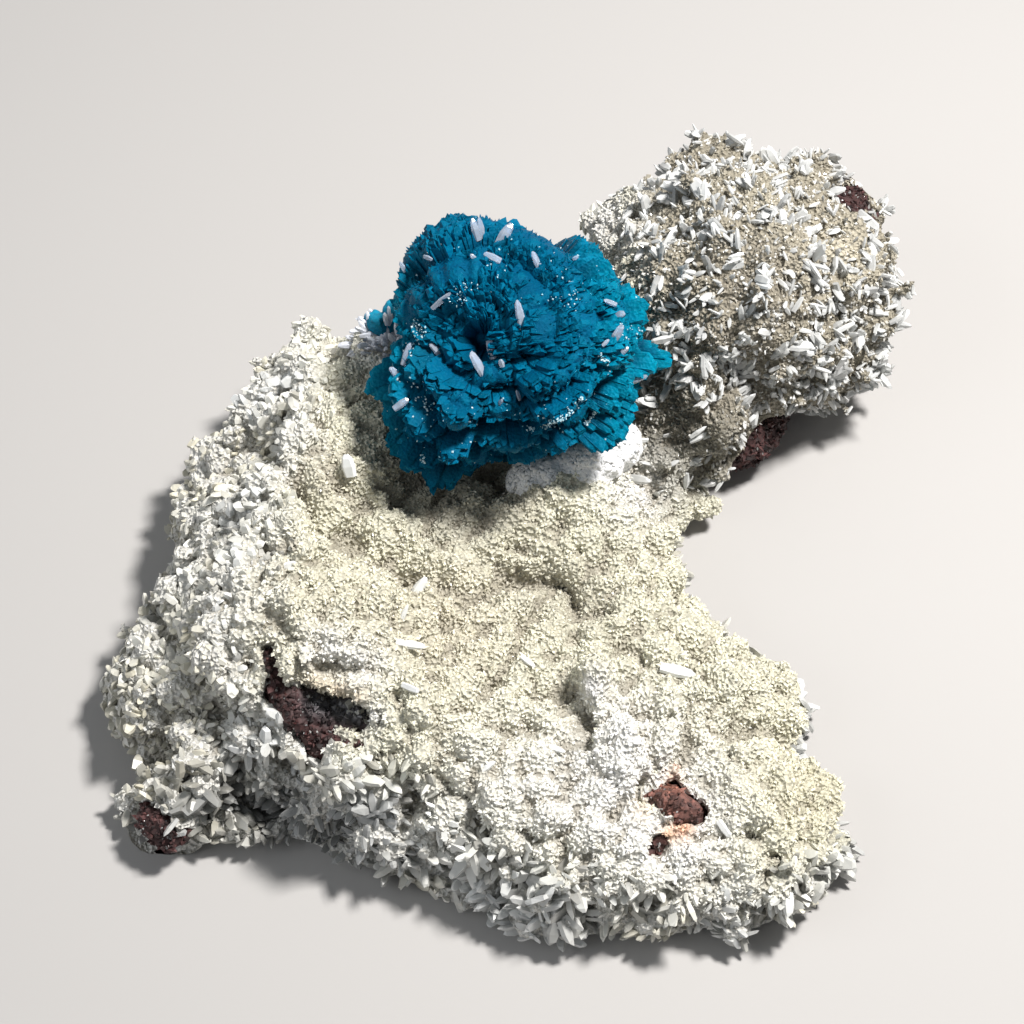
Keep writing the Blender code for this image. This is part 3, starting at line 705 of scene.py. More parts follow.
def hollowness(mesh, rounds):
    """How far each vertex lies below the smoothed surface. It is negative on ridges."""
    points, normals = points_and_normals(mesh)
    return ((neighbour_mean(mesh, points, rounds) - points) * normals).sum(axis=1)


def distance_to(tree, points):
    return np.array([tree.find_nearest(Vector(point))[3] for point in points])


def seen_from_front(tree, place):
    """The point and normal of a surface that appears at a place in the display view."""
    ray = VIEW_AWAY * VIEW_DISTANCE + place[0] * VIEW_RIGHT + place[1] * VIEW_UP
    hit, normal, _, distance = tree.ray_cast(Vector(VIEW_EYE), Vector(ray).normalized())
    if hit is None:
        return None, None, math.inf
    return np.array(hit), np.array(normal), distance


def crust_fills(raw_tree):
    """Grains that close the raw openings of the crust wherever the rock should not show."""
    fills = []
    for place in itertools.product(np.arange(*FILL_RIGHT, FILL_STEP), np.arange(*FILL_UP, FILL_STEP)):
        rock, normal, distance = seen_from_front(basalt_tree, place)
        if rock is None or distance > seen_from_front(raw_tree, place)[2] or rock[2] <= FILL_LOWEST_ROCK:
            continue
        left_open = OPEN_BAND[0] < place[0] < OPEN_BAND[1] or place[1] <= FILL_LOWEST_UP
        if not left_open and bareness(rock[None], normal[None])[0] < FILL_BARE:
            fills.append(rock)
    return np.array(fills)


# A small crystal with a point at both ends, as shares of its length, width and thickness
PYRAMID = np.array(
    [(0, 0, 0), (0.55, 0.5, 0), (0.55, 0, 0.5), (0.55, -0.5, 0), (0.55, 0, -0.5), (1, 0, 0)]
)
PYRAMID_FACES = np.array(
    [(2, 1, 0), (3, 2, 0), (4, 3, 0), (1, 4, 0), (1, 2, 5), (2, 3, 5), (3, 4, 5), (4, 1, 5)]
)


def copies(shapes, faces):
    """The points and triangles of many shapes that have the same faces."""
    starts = np.arange(len(shapes)) * shapes.shape[1]
    return shapes.reshape(-1, 3), (faces[None] + starts[:, None, None]).reshape(-1, 3)


def merged(*parts):
    """The points and triangles of several parts as one."""
    starts = np.cumsum([0] + [len(points) for points, _ in parts])
    faces = [faces + start for (_, faces), start in zip(parts, starts)]
    return np.concatenate([points for points, _ in parts]), np.concatenate(faces)


raw_crust = copy_of("stilbite_crust")
fills = crust_fills(tree_of(raw_crust))
places, _ = points_and_normals(raw_crust)
fill_shapes = fills[:, None] + (PYRAMID - [0.5, 0, 0]) * FILL_SIZE * FILL_STRETCH
crust = skin_of(mesh_of(
    *merged((places, triangles_of(raw_crust)), copies(fill_shapes, PYRAMID_FACES))
), CRUST_VOXEL, CRUST_ROUNDS)
places, normals = points_and_normals(crust)
crust_face, crust_block = zones(places, unit(neighbour_mean(crust, normals, ZONE_ROUNDS)))
clear_of_rock = ramp(distance_to(basalt_tree, places), *CRUST_EDGE)
above = ramp(places[:, 2], *CRUST_FOOT)
bare = bareness(places, normals)
relief = crust_relief(places, normals, crust_face, crust_block) * clear_of_rock * above
places += normals * (relief * (1 - bare) - CRUST_SUNK * bare)[:, None]
places[:, 2] = np.maximum(places[:, 2], 0.0)
move_points(crust, places)
places, normals = points_and_normals(crust)
# Painted shade in the hollows, with a brown-grey tone: the crust turns darker there, and so do the blades
# that stand in them
hollow = HOLLOW_SHARE * ramp(hollowness(crust, HOLLOW_ROUNDS), *HOLLOW_RANGE)
crust_tint_and_shade = tinted(crust_colour_and_shade(places, normals, crust_face, crust_block), HOLLOW_TINT_AND_SHADE, hollow)
crust_shade = 1 - HOLLOW_SHADE * hollow
paint(crust, "tint", crust_tint_and_shade)

crust_stone, tree, shader = new_material("stilbite_crust", Specular_IOR_Level=0.5)
tint = read_attribute(tree, "tint", "Color")
grain = placed_group(tree, GRAIN, Scale=2000.0, Contrast=2.6)
dimmer = multiplied(tree, tint, (0.72, 0.70, 0.66, 1))
feed(tree, shader.inputs["Base Color"], mixed(tree, grain["Value"], dimmer, tint))
glint = placed_group(tree, GLINTS, Scale=4000.0, Share=0.1)
map_roughness(tree, shader, glint["Mask"], dull=0.7, glossy=0.12)
add_bump(tree, shader, grain["Height"], strength=1.0, distance=0.6)
finish_piece("crust", crust, crust_stone, ["stilbite_crust"])
crust_tree = tree_of(crust)


# The crust's druse
# Tiny stilbite crystals that stand all over the crust's face like coarse sand and sparkle.
# Each is a stubby double pyramid rooted in the crust.
DRUSE_TRIES = 70000
DRUSE_COUNT = 24500
DRUSE_LENGTH = (0.4, 0.85)
DRUSE_PLAY = (0.93, 1.16)
DRUSE_OFF_FACE = 0.05
BLOCK_DRUSE_TRIES = 90000
BLOCK_DRUSE_COUNT = 15000
BLOCK_DRUSE_LENGTH = (0.4, 0.95)
BLOCK_DRUSE_PLAY = (0.6, 1.25)
BLOCK_DRUSE_WHITER = 0.4
BLOCK_DRUSE_SHOWN = (-0.6, 0.1)
DRUSE_WIDTH = 0.55
DRUSE_LEAN = 0.9
DRUSE_SUNK = 0.45
DRUSE_WOBBLE = 0.15
PALEST = 0.95

# Growth starts where the way out is clear of rock, above the foot and off the bare places
GROWTH_START = 0.4
GROWTH_CLEAR = 3.0
GROWTH_LOWEST = 1.2
GROWTH_BARE = 0.4

# Places that the stilbite's blades and whiter grains keep out of: display view, radius
BARE_OF_BLADES = [((20.5, 8.9), 6.0), ((-21.8, -23.6), 4.2)]
KEPT_OUT = 0.92


def scatter(mesh, count, seed):
    """Random points on a mesh, spread by area, with the normal and a vertex close to each."""
    draw = np.random.default_rng(seed)
    points, _ = points_and_normals(mesh)
    corners = triangles_of(mesh)
    a, b, c = (points[corners[:, corner]] for corner in range(3))
    cross = np.cross(b - a, c - a)
    area = np.linalg.norm(cross, axis=1)
    pick = draw.choice(len(area), count, p=area / area.sum())
    first, second = draw.random((2, count, 1))
    fold = first + second > 1
    first, second = np.where(fold, 1 - first, first), np.where(fold, 1 - second, second)
    places = a[pick] + (b - a)[pick] * first + (c - a)[pick] * second
    return places, unit(cross[pick]), corners[pick, 0]


def picked(chosen, *arrays):
    return [values[chosen] for values in arrays]


def random_directions(draw, count):
    return unit(draw.normal(size=(count, 3)))


def strayed(directions, amount, draw):
    """Directions that each stray a little or a lot, at random."""
    return unit(directions + amount * random_directions(draw, len(directions)))


def sized(length, width, thickness):
    """The three sizes of each crystal, from its length and two shares of it."""
    return np.stack([length, length * width, length * thickness], axis=1)


def grow(template, faces, bases, along, facing, sizes, draw, wobble=0.0):
    """Many crystals at once, each the template stretched to its own length, width and thickness."""
    along = unit(along)
    across = unit(np.cross(facing, along))
    axes = np.stack([along, across, np.cross(along, across)], axis=1)
    shape = np.repeat(template[None], len(bases), axis=0)
    shape = shape * (1 + wobble * draw.uniform(-1, 1, shape.shape))
    return copies(bases[:, None] + np.einsum("nmk,nkd->nmd", shape * sizes[:, None], axes), faces)


def pyramids(bases, along, sizes, draw, wobble):
    """Many small double pyramids, each turned at random round its length."""
    facing = random_directions(draw, len(bases))
    return grow(PYRAMID, PYRAMID_FACES, bases, along, facing, sizes, draw, wobble)


def exposed(places, normals):
    """True where no rock lies close in front, above the foot and off the bare places."""
    out = places + normals * GROWTH_START
    blocked = np.array([
        basalt_tree.ray_cast(Vector(point), Vector(normal), GROWTH_CLEAR)[0] is not None
        for point, normal in zip(out, normals)
    ])
    return ~blocked & (places[:, 2] > GROWTH_LOWEST) & (bareness(places, normals) < GROWTH_BARE)


def blades_allowed(places):
    """1 over most of the crust, falling towards 0 in each place that blades keep out of."""
    share = np.ones(len(places))
    for middle, radius in BARE_OF_BLADES:
        near = np.linalg.norm(in_display_view(places) - np.array(middle), axis=1) / radius
        share *= 1 - KEPT_OUT * np.exp(-near ** 4)
    return share


def druse_mesh(seed, tries, most, play, lengths, chance, whiter=0.0):
    """Stubby double pyramids rooted in the crust, each with its own colour and polish."""
    draw = np.random.default_rng(seed)
    places, normals, close = scatter(crust, tries, seed + 1)
    chosen = (draw.random(tries) < chance(normals, close)) & exposed(places, normals)
    places, normals, close = picked(np.flatnonzero(chosen)[:most], places, normals, close)
    count = len(places)
    colour = crust_tint_and_shade[close] * draw.uniform(*play, (count, 1))
    if whiter:
        share = (draw.random(count) < whiter) * draw.random(count) * blades_allowed(places)
        colour = tinted(colour, SNOW, share)
    length = draw.uniform(*lengths, count)
    along = strayed(normals, DRUSE_LEAN, draw)
    bases = places - along * length[:, None] * DRUSE_SUNK
    sizes = sized(length, DRUSE_WIDTH, DRUSE_WIDTH)
    mesh = mesh_of(*pyramids(bases, along, sizes, draw, DRUSE_WOBBLE))
    paint(mesh, "tint", np.clip(colour, 0, PALEST))
    paint(mesh, "chance", draw.random(count))
    return mesh


druse = druse_mesh(
    seed=31, tries=DRUSE_TRIES, most=DRUSE_COUNT, play=DRUSE_PLAY, lengths=DRUSE_LENGTH,
    chance=lambda normals, close: crust_face[close] + DRUSE_OFF_FACE,
)
block_druse = druse_mesh(
    seed=36, tries=BLOCK_DRUSE_TRIES, most=BLOCK_DRUSE_COUNT, play=BLOCK_DRUSE_PLAY,
    lengths=BLOCK_DRUSE_LENGTH, whiter=BLOCK_DRUSE_WHITER,
    chance=lambda normals, close: crust_block[close] * shown_in_view(normals, *BLOCK_DRUSE_SHOWN),
)

druse_stone, tree, shader = new_material("stilbite_druse", Specular_IOR_Level=0.6)
feed(tree, shader.inputs["Base Color"], read_attribute(tree, "tint", "Color"))
map_roughness(tree, shader, read_attribute(tree, "chance", "Fac"), dull=0.12, glossy=0.7)
finish_piece("crust_druse", druse, druse_stone)
finish_piece("block_druse", block_druse, druse_stone)


# The basalt's broken grain
# Angular crumbs of rock on every bare place, with a few white and tan grains left among them.
CRUMB_TRIES = 60000
CRUMB_BARE = (0.25, 0.75)
CRUMB_LOWEST = 1.5
CRUMB_SIZE = (0.5, 1.5)
CRUMB_WIDTH = (0.5, 0.9)
CRUMB_THICKNESS = (0.4, 0.8)
CRUMB_LEAN = 1.1
CRUMB_WOBBLE = 0.3
CRUMB_PLAY = (0.25, 1.9)
CRUMB_WHITE = 0.1
CRUMB_WHITE_PLAY = (0.5, 1.0)
CRUMB_WHITE_SIZE = 0.6
CRUMB_PALEST = 0.9

draw = np.random.default_rng(45)
places, normals, _ = scatter(basalt, CRUMB_TRIES, seed=46)
chosen = bareness(places, normals) > draw.uniform(*CRUMB_BARE, len(places))
places, normals = picked(chosen & (places[:, 2] > CRUMB_LOWEST), places, normals)
count = len(places)
length = draw.uniform(*CRUMB_SIZE, count) * draw.uniform(0.6, 1.0, count)
colour = basalt_colour_and_shade(places) * draw.uniform(*CRUMB_PLAY, (count, 1))
pale = draw.random(count) < CRUMB_WHITE
colour[pale] = np.array(WHITE) * draw.uniform(*CRUMB_WHITE_PLAY, (pale.sum(), 1))
length[pale] *= CRUMB_WHITE_SIZE
sizes = sized(length, draw.uniform(*CRUMB_WIDTH, count), draw.uniform(*CRUMB_THICKNESS, count))
along = strayed(normals, CRUMB_LEAN, draw)
bases = places - along * length[:, None] * 0.5
crumbs = mesh_of(*pyramids(bases, along, sizes, draw, CRUMB_WOBBLE))
paint(crumbs, "tint", np.clip(colour, 0, CRUMB_PALEST))
finish_piece("basalt_crumbs", crumbs, basalt_stone)


# The crust's blades
# Flat stilbite blades with blunt points. They crowd the flanks like shingles, standing outwards,
# and lie scattered at all angles over the upper block. Only a few stand on the cream face.
BLADE_WHITE = (0.90, 0.905, 0.885)
BLADE_CREAM = (0.84, 0.79, 0.63)
BLADE_PLAY = (0.88, 1.08)
ROOT_SHADE = 0.76
TIP_SHADE = 0.26
BLADE_ROOTED = 0.3
BLADE_TWIST = 1.2
BLADE_WOBBLE = 0.1
BLADE_BARE = 0.5
FLOOR_CLEARANCE = 0.6

# The flanks: how many, how far apart, how long, how wide and thick for their length, how they lean
FLANK_TRIES = 60000
FLANK_BLADES = 6200
FLANK_SPACING = 0.8
FLANK_LENGTH = (1.3, 2.8)
FLANK_WIDTH = (0.38, 0.6)
FLANK_THICKNESS = (0.2, 0.34)
FLANK_CLUSTER = 4.0
FLANK_CLUSTERED = 1.1
FLANK_STRAY = 0.6
FLANK_DROOP = [0, 0, 0.15]
FLANK_OUTWARD = (0.35, 1)
SHORTER_ON_FACE = 0.4
LIKE_FACE = 0.8
FACE_LIFT = 1.08

# At the far left they are shorter, thicker and creamier, and rooted deeper
STUBBY_LEFT = (14, 24)
STUBBY_BACK = (-38, -26)
STUBBY_SHORTER = 0.3
STUBBY_WIDER = 0.3
STUBBY_THICKER = 0.4
STUBBY_CREAM = 0.5
STUBBY_SUNK = 0.2

# Patches of longer and shorter blades, patches of cream, and painted shade that darkens the flank low down
# and at its lower left
PATCH_SIZE = 5.0
PATCH_PLAY = 0.45
CREAM_PATCHES = [(9.0, 1.0), (3.0, 0.5)]
CREAM_RANGE = (-0.4, 0.8)
CREAM_PLAY = (0.4, 1.0)
LOW_RANGE = (2, 14)
LOW_SHADE = 0.75
FLANK_SHADE = ((-36.0, -32.0), (-27.0, -34.0), (-18.0, -37.0))
FLANK_SHADE_WIDTH = 4.5
FLANK_SHADE_SHARE = 0.55

# The upper block: clumps of up to six blades that lean alike, and lone blades between them
BLOCK_TRIES = 40000
BLOCK_CLUMPS = 660
CLUMP_SPACING = 1.5
CLUMP_BLADES = (1, 7)
CLUMP_OUTWARD = 0.6
CLUMP_LEAN = 0.8
CLUMP_SPREAD = 0.35
CLUMP_LENGTH = (0.9, 1.8)
CLUMP_PLAY = (0.7, 1.5)
CLUMP_LONGEST = 1.3
LONE_BLADES = 1100
LONE_SPACING = 1.1
LONE_SPREAD = 0.1
LONE_LENGTH = (0.7, 1.7)
BLOCK_WIDTH = (0.34, 0.56)
BLOCK_THICKNESS = (0.15, 0.26)
BLOCK_STRAY = 0.75
BLOCK_OUTWARD = (0.15, 2)
BLOCK_LIFT = 0.15
BLOCK_PLAY = (0.66, 0.96)

SLIM_SECTION = [(-0.5, 0), (-0.3, 0.5), (0.3, 0.5), (0.5, 0), (0.3, -0.5), (-0.3, -0.5)]
PLAIN_SECTION = [(-0.5, -0.3), (-0.35, 0.5), (0.35, 0.5), (0.5, -0.3)]
TIP_HALF = 0.13


def outward(points, faces):
    """The triangles, turned so that the closed shape faces outwards."""
    a, b, c = (points[faces[:, corner]] for corner in range(3))
    return faces if np.einsum("ij,ij->", a, np.cross(b, c)) > 0 else faces[:, ::-1]


def blade_template(section, rows):
    """One blade as shares of its length, width and thickness, with its triangles."""
    count = len(section)
    points = [(reach, wide * size, thick * size) for reach, size in rows for wide, thick in section]
    tips = len(points)
    points += [(1.0, -TIP_HALF, 0.0), (1.0, TIP_HALF, 0.0)]
    faces = [(0, corner, corner + 1) for corner in range(1, count - 1)]
    for row, corner in itertools.product(range(len(rows) - 1), range(count)):
        low, after = row * count + corner, row * count + (corner + 1) % count
        faces += [(low, low + count, after), (after, low + count, after + count)]
    last = (len(rows) - 1) * count
    for corner in range(count):
        after = (corner + 1) % count
        tip, next_tip = (tips + (section[k][0] > 0) for k in (corner, after))
        faces.append((last + corner, tip, last + after))
        if tip != next_tip:
            faces.append((last + after, tip, next_tip))
    points = np.array(points, float)
    return points, outward(points, np.array(faces))


SLIM_BLADE = blade_template(SLIM_SECTION, [(0.0, 0.8), (0.5, 1.0), (0.86, 0.72)])
PLAIN_BLADE = blade_template(PLAIN_SECTION, [(0.0, 0.8), (0.55, 1.0), (0.86, 0.7)])
BLUNT_BLADE = blade_template(PLAIN_SECTION, [(0.0, 0.9), (0.6, 1.0), (0.95, 0.85)])


def spread_out(places, spacing, most):
    """Picks places in order, each clear of those before it."""
    cells = {}
    kept = []
    for index, (place, cell) in enumerate(zip(places, np.floor(places / spacing).astype(int))):
        near = (cells.get((cell[0] + i, cell[1] + j, cell[2] + k), ())
                for i, j, k in itertools.product((-1, 0, 1), repeat=3))
        if all(np.dot(place - other, place - other) > spacing * spacing for group in near for other in group):
            cells.setdefault(tuple(cell), []).append(place)
            kept.append(index)
            if len(kept) == most:
                break
    return np.array(kept)


def turned_out(along, normals, least, most):
    """Directions turned outwards until they stand out from the crust by the least share or more."""
    return unit(along + normals * np.clip(least - (along * normals).sum(axis=1), 0, most)[:, None])


def above_floor(places, along, length):
    """Turns up the blades that would reach down to the floor."""
    low = places[:, 2] + np.minimum(along[:, 2], 0) * length < FLOOR_CLEARANCE
    return unit(np.where(low[:, None], np.abs(along) * [0, 0, 1] + along * [1, 1, 0], along))


def blade_mesh(template, places, normals, along, sizes, tone, draw):
    """Blades rooted in the crust, pale at their tips, with painted shade making them greyer at their roots.
    """
    along = above_floor(places, along, sizes[:, 0])
    shape, faces = template
    bases = places - along * sizes[:, :1] * BLADE_ROOTED
    facing = strayed(normals, BLADE_TWIST, draw)
    mesh = mesh_of(*grow(shape, faces, bases, along, facing, sizes, draw, BLADE_WOBBLE))
    # Painted shade, darkest at the root
    depth = ROOT_SHADE + TIP_SHADE * shape[:, 0]
    colours = tone[:, None, :] * draw.uniform(*BLADE_PLAY, (len(places), 1, 1)) * depth[None, :, None]
    paint(mesh, "tint", np.clip(colours, 0, PALEST).reshape(-1, 3))
    return mesh


blade_stone, tree, shader = new_material("stilbite_blades", Specular_IOR_Level=0.55, IOR=1.5)
tint = read_attribute(tree, "tint", "Color")
grain = placed_group(tree, GRAIN, Scale=700.0, Contrast=1.4)
dimmer = multiplied(tree, tint, (0.8, 0.82, 0.84, 1))
feed(tree, shader.inputs["Base Color"], mixed(tree, grain["Value"], dimmer, tint))
map_roughness(tree, shader, grain["Value"], dull=0.2, glossy=0.45)

draw = np.random.default_rng(51)
places, normals, close = scatter(crust, FLANK_TRIES, seed=52)
share = (1 - crust_face[close] - crust_block[close]) * blades_allowed(places)
chosen = (draw.random(len(places)) < share) & exposed(places, normals)
places, normals, close = picked(chosen, places, normals, close)
chosen = spread_out(places, FLANK_SPACING, FLANK_BLADES)
places, normals, close = picked(chosen, places, normals, close)
count = len(places)
along = normals + FLANK_CLUSTERED * drift(places, FLANK_CLUSTER, 40)
along = unit(along + FLANK_STRAY * random_directions(draw, count) - FLANK_DROOP)
along = turned_out(along, normals, *FLANK_OUTWARD)
stubby = ramp(-places[:, 0], *STUBBY_LEFT) * ramp(places[:, 1], *STUBBY_BACK)
patch = 1 + PATCH_PLAY * lattice_noise(places, PATCH_SIZE, 23)
length = draw.uniform(*FLANK_LENGTH, count) * patch * (1 - STUBBY_SHORTER * stubby)
length *= 1 - SHORTER_ON_FACE * crust_face[close]
cream = ramp(layered_noise(places, CREAM_PATCHES, seed=19) + STUBBY_CREAM * stubby, *CREAM_RANGE)
tone = tinted(np.array(BLADE_WHITE), BLADE_CREAM, cream * draw.uniform(*CREAM_PLAY, count))
tone = tinted(tone, crust_tint_and_shade[close] * FACE_LIFT, LIKE_FACE * crust_face[close] ** 0.5)
# Painted shade on the blades: in the crust's hollows, low on the flank and at its lower left
low = LOW_SHADE + (1 - LOW_SHADE) * ramp(places[:, 2], *LOW_RANGE)
tone *= (crust_shade[close] * low)[:, None]
in_shade = near_path(in_display_view(places), FLANK_SHADE, FLANK_SHADE_WIDTH)
tone *= (1 - FLANK_SHADE_SHARE * in_shade)[:, None]
clear = bareness(places + along * length[:, None], normals) < BLADE_BARE
places, normals, along, length, tone, stubby = picked(clear, places, normals, along, length, tone, stubby)
width = draw.uniform(*FLANK_WIDTH, len(places)) * (1 + STUBBY_WIDER * stubby)
thickness = draw.uniform(*FLANK_THICKNESS, len(places)) * (1 + STUBBY_THICKER * stubby)
flank_blades = blade_mesh(
    PLAIN_BLADE, places - normals * (STUBBY_SUNK * stubby)[:, None], normals, along,
    sized(length, width, thickness), tone, draw,
)
finish_piece("flank_blades", flank_blades, blade_stone)

draw = np.random.default_rng(61)
places, normals, close = scatter(crust, BLOCK_TRIES, seed=62)
share = crust_block[close] * blades_allowed(places)
chosen = (draw.random(len(places)) < share) & exposed(places, normals)
places, normals = picked(chosen, places, normals)
heads = spread_out(places, CLUMP_SPACING, BLOCK_CLUMPS)
owner = np.repeat(np.arange(len(heads)), draw.integers(*CLUMP_BLADES, len(heads)))
lone = len(places) - 1 - spread_out(places[::-1], LONE_SPACING, LONE_BLADES)
places, normals = picked(np.concatenate([heads[owner], lone]), places, normals)
count = len(places)
clumped = np.arange(count) < len(owner)
lean = normals.copy()
clump_lean = random_directions(draw, len(heads))[owner]
lean[clumped] = unit(CLUMP_OUTWARD * normals[clumped] + CLUMP_LEAN * clump_lean)
along = turned_out(strayed(lean, BLOCK_STRAY, draw), normals, *BLOCK_OUTWARD)
places = places + draw.normal(size=(count, 3)) * np.where(clumped, CLUMP_SPREAD, LONE_SPREAD)[:, None]
big = draw.uniform(*CLUMP_LENGTH, len(heads))[owner] * draw.uniform(*CLUMP_PLAY, len(owner))
big += CLUMP_LONGEST * draw.random(len(owner)) ** 3
length = np.concatenate([big, draw.uniform(*LONE_LENGTH, len(lone))])
tone = np.array(BLADE_WHITE) * draw.uniform(*BLOCK_PLAY, (count, 1))
sizes = sized(length, draw.uniform(*BLOCK_WIDTH, count), draw.uniform(*BLOCK_THICKNESS, count))
block_blades = blade_mesh(SLIM_BLADE, places + normals * BLOCK_LIFT, normals, along, sizes, tone, draw)
finish_piece("block_blades", block_blades, blade_stone)


# The cavansite rosette
# A ball of deep blue blades that grew outwards from one point, in thick fans grown together.
# Round a pit near its top the fans radiate like ribs. Its thin rims let the light through.
ROSETTE_CENTRE = np.array([-1.1, 13.8, 25.5])
ROSETTE_RADIUS = 16.3
ROSETTE_CORE = 12.4
CORE_UNDER = 3.0
CORE_ROWS = 18
CORE_TURNS = 28
SPRAY_DEPTH = 6.0
ROSETTE_VOXEL = 0.4
ROSETTE_TOP = 41.2
BLADE_TOP = 41.5
END_TOP = 41.0
ROSETTE_REACH = [
    (0, 18.2), (11, 17.3), (31, 16.1), (47, 15.2), (57, 15.6), (73, 14.9), (98, 15.5), (113, 17.5),
    (134, 16.9), (149, 14.9), (161, 13.9), (177, 14.3), (197, 16.0), (213, 16.6), (234, 17.8),
    (244, 17.8), (254, 13.8), (271, 13.4), (290, 13.2), (307, 13.4), (320, 17.2), (334, 16.6),
    (345, 14.8), (352, 16.5),
]
PIT_PLACE = (-3.2, 1.2)
PIT_SPREAD = 0.42
PIT_DEPTH = 4.5

# The fans that stand out: where the rim's middle appears, right and up of the rosette's centre,
# the rim's length, the thickness, the rim's lean in degrees, the lift over the ball, the point
FANS = [
    ((2.1, 0.6), 8.0, 3.4, 4, 0.5, 0.0),
    ((-1.6, -3.2), 7.5, 3.2, 16, 0.8, 0.0),
    ((3.0, -2.8), 5.0, 2.2, 20, 0.3, 0.0),
    ((6.4, -3.4), 8.5, 3.6, 32, 1.5, 0.0),
    ((-0.4, -6.8), 6.5, 2.8, 8, 1.1, 0.0),
    ((7.6, -6.4), 8.5, 1.8, 33, 1.6, 0.0),
    ((3.6, -7.4), 5.0, 2.2, 22, 1.0, 0.0),
    ((10.8, -2.4), 5.0, 2.2, 40, 0.8, 0.0),
    ((7.6, -0.2), 5.0, 2.2, 35, 0.3, 0.0),
    ((9.6, 1.6), 5.0, 2.2, 45, 0.4, 0.0),
    ((12.6, -5.0), 6.0, 1.6, 50, 0.9, 0.0),
    ((13.2, -7.2), 7.0, 1.6, 44, 0.9, 0.0),
    ((12.8, -9.4), 7.0, 1.6, 38, 0.7, 0.0),
    ((1.2, -10.6), 8.0, 2.4, 6, 1.0, 0.0),
    ((7.4, -9.6), 8.5, 2.2, 24, 0.9, 0.0),
    ((3.2, -12.2), 7.0, 1.8, 10, 0.5, 0.0),
    ((-2.8, -10.2), 5.5, 2.2, 176, 0.7, 0.05),
    ((14.6, 4.2), 7.0, 2.8, 100, 0.8, 0.0),
    ((12.2, 3.2), 6.5, 2.0, 66, 0.7, 0.0),
    ((13.6, 0.6), 5.5, 2.0, 84, 0.6, 0.0),
    ((19.4, -0.9), 6.5, 2.8, 76, 0.0, 0.22),
    ((16.4, -1.8), 5.5, 2.2, 62, 0.2, 0.1),
    ((14.0, -3.0), 5.0, 1.8, 60, 0.4, 0.0),
    ((-11.4, 4.6), 7.0, 3.4, 64, 0.9, 0.0),
    ((-8.0, 2.8), 6.0, 3.0, 70, 0.6, 0.0),
    ((-11.2, 0.8), 5.5, 2.2, 84, 0.2, 0.0),
    ((-16.0, -4.2), 7.0, 2.6, 112, 0.0, 0.18),
    ((-12.6, -1.8), 6.0, 2.4, 102, 0.6, 0.08),
    ((-14.4, -7.8), 6.5, 2.2, 124, 0.2, 0.1),
    ((-13.6, -11.4), 5.0, 2.4, 140, 0.0, 0.12),
    ((-9.2, -16.2), 5.5, 2.8, 158, 0.0, 0.2),
    ((-7.0, -16.0), 4.5, 2.4, 168, -0.4, 0.22),
    ((-10.8, -12.8), 6.5, 3.0, 150, 1.2, 0.1),
    ((-6.6, -12.4), 5.0, 2.8, 168, 1.0, 0.15),
    ((-9.6, -9.0), 6.5, 3.0, 148, 1.5, 0.08),
    ((-6.0, -8.8), 5.5, 2.8, 166, 1.3, 0.08),
    ((-12.4, -6.0), 6.5, 2.8, 128, 1.0, 0.08),
    ((-8.0, -5.2), 6.0, 2.8, 144, 1.1, 0.05),
    ((-4.8, -5.6), 5.0, 2.6, 164, 0.9, 0.0),
    ((-10.4, -2.4), 5.5, 2.6, 120, 0.9, 0.05),
    ((-6.4, -1.6), 5.0, 2.4, 140, 0.6, 0.0),
    ((-4.2, -12.8), 4.5, 2.2, 176, 0.2, 0.15),
]

# The smoother fans of the lobe at the upper left, listed like those above
LOBE_FANS = [
    ((-3.8, 14.6), 5.5, 4.4, 92, 0.0, 0.0),
    ((-6.6, 15.2), 6.0, 4.8, 104, 0.0, 0.0),
    ((-9.4, 13.7), 6.0, 4.8, 117, 0.0, 0.0),
    ((-11.2, 11.6), 6.0, 4.6, 128, 0.0, 0.0),
    ((-12.1, 9.4), 5.5, 4.4, 138, 0.0, 0.0),
    ((-12.4, 7.2), 5.0, 4.0, 148, 0.0, 0.0),
]

# The ribs that radiate round the pit: distance from it, rim, thickness, lift, play of the lift
# and degrees from one rib to the next
RIBS_FROM = -10
RIBS_TO = 185
RIB_ROWS = [
    (4.6, 5.0, 1.8, 0.5, 0.5, 17),
    (8.8, 9.0, 3.2, 0.2, 0.25, 14),
    (13.2, 8.0, 4.0, 0.2, 0.25, 13),
    (17.0, 8.0, 4.4, 0.0, 0.3, 11),
]
RIB_STRAY = 4
RIBS_WITHIN = 15.8
FILLER_FANS = 120
FILLER_SUNK = 2.4
FILLER_SUNK_BEHIND = 0.2
FILLER_SEEN = -0.3
FILLER_RIM = (5, 9)
FILLER_THICK = (1.8, 3.2)

# How the body of a fan is made: the share of the rim and thickness that it fills, its slight bend,
# the points of its outline, and the cells that step its rim and pleat its sides
BODY_SLIM = (0.9, 0.8)
BODY_SUNK = 0.2
RIB_SUNK = 0.15
PETAL_SLIM = 0.85
FAN_BEND = 0.8
RIB_BEND = 0.5
FILLER_BEND = 1
FAN_COLUMNS = 33
FAN_SIDE = [(0.25, 0.35), (0.55, 0.75), (0.8, 1.0), (0.94, 0.95)]
FAN_RIM = np.linspace(-0.8, 0.8, 7)
RIM_ROUND = 0.10
RIM_BEVEL = 0.12
BLADE_CELL = 0.75
BLADE_STEP = 0.3
RIB_STEP = 0.16
PLEAT = 0.22
PLEAT_SEED = 7
RIM_FROM = 0.9

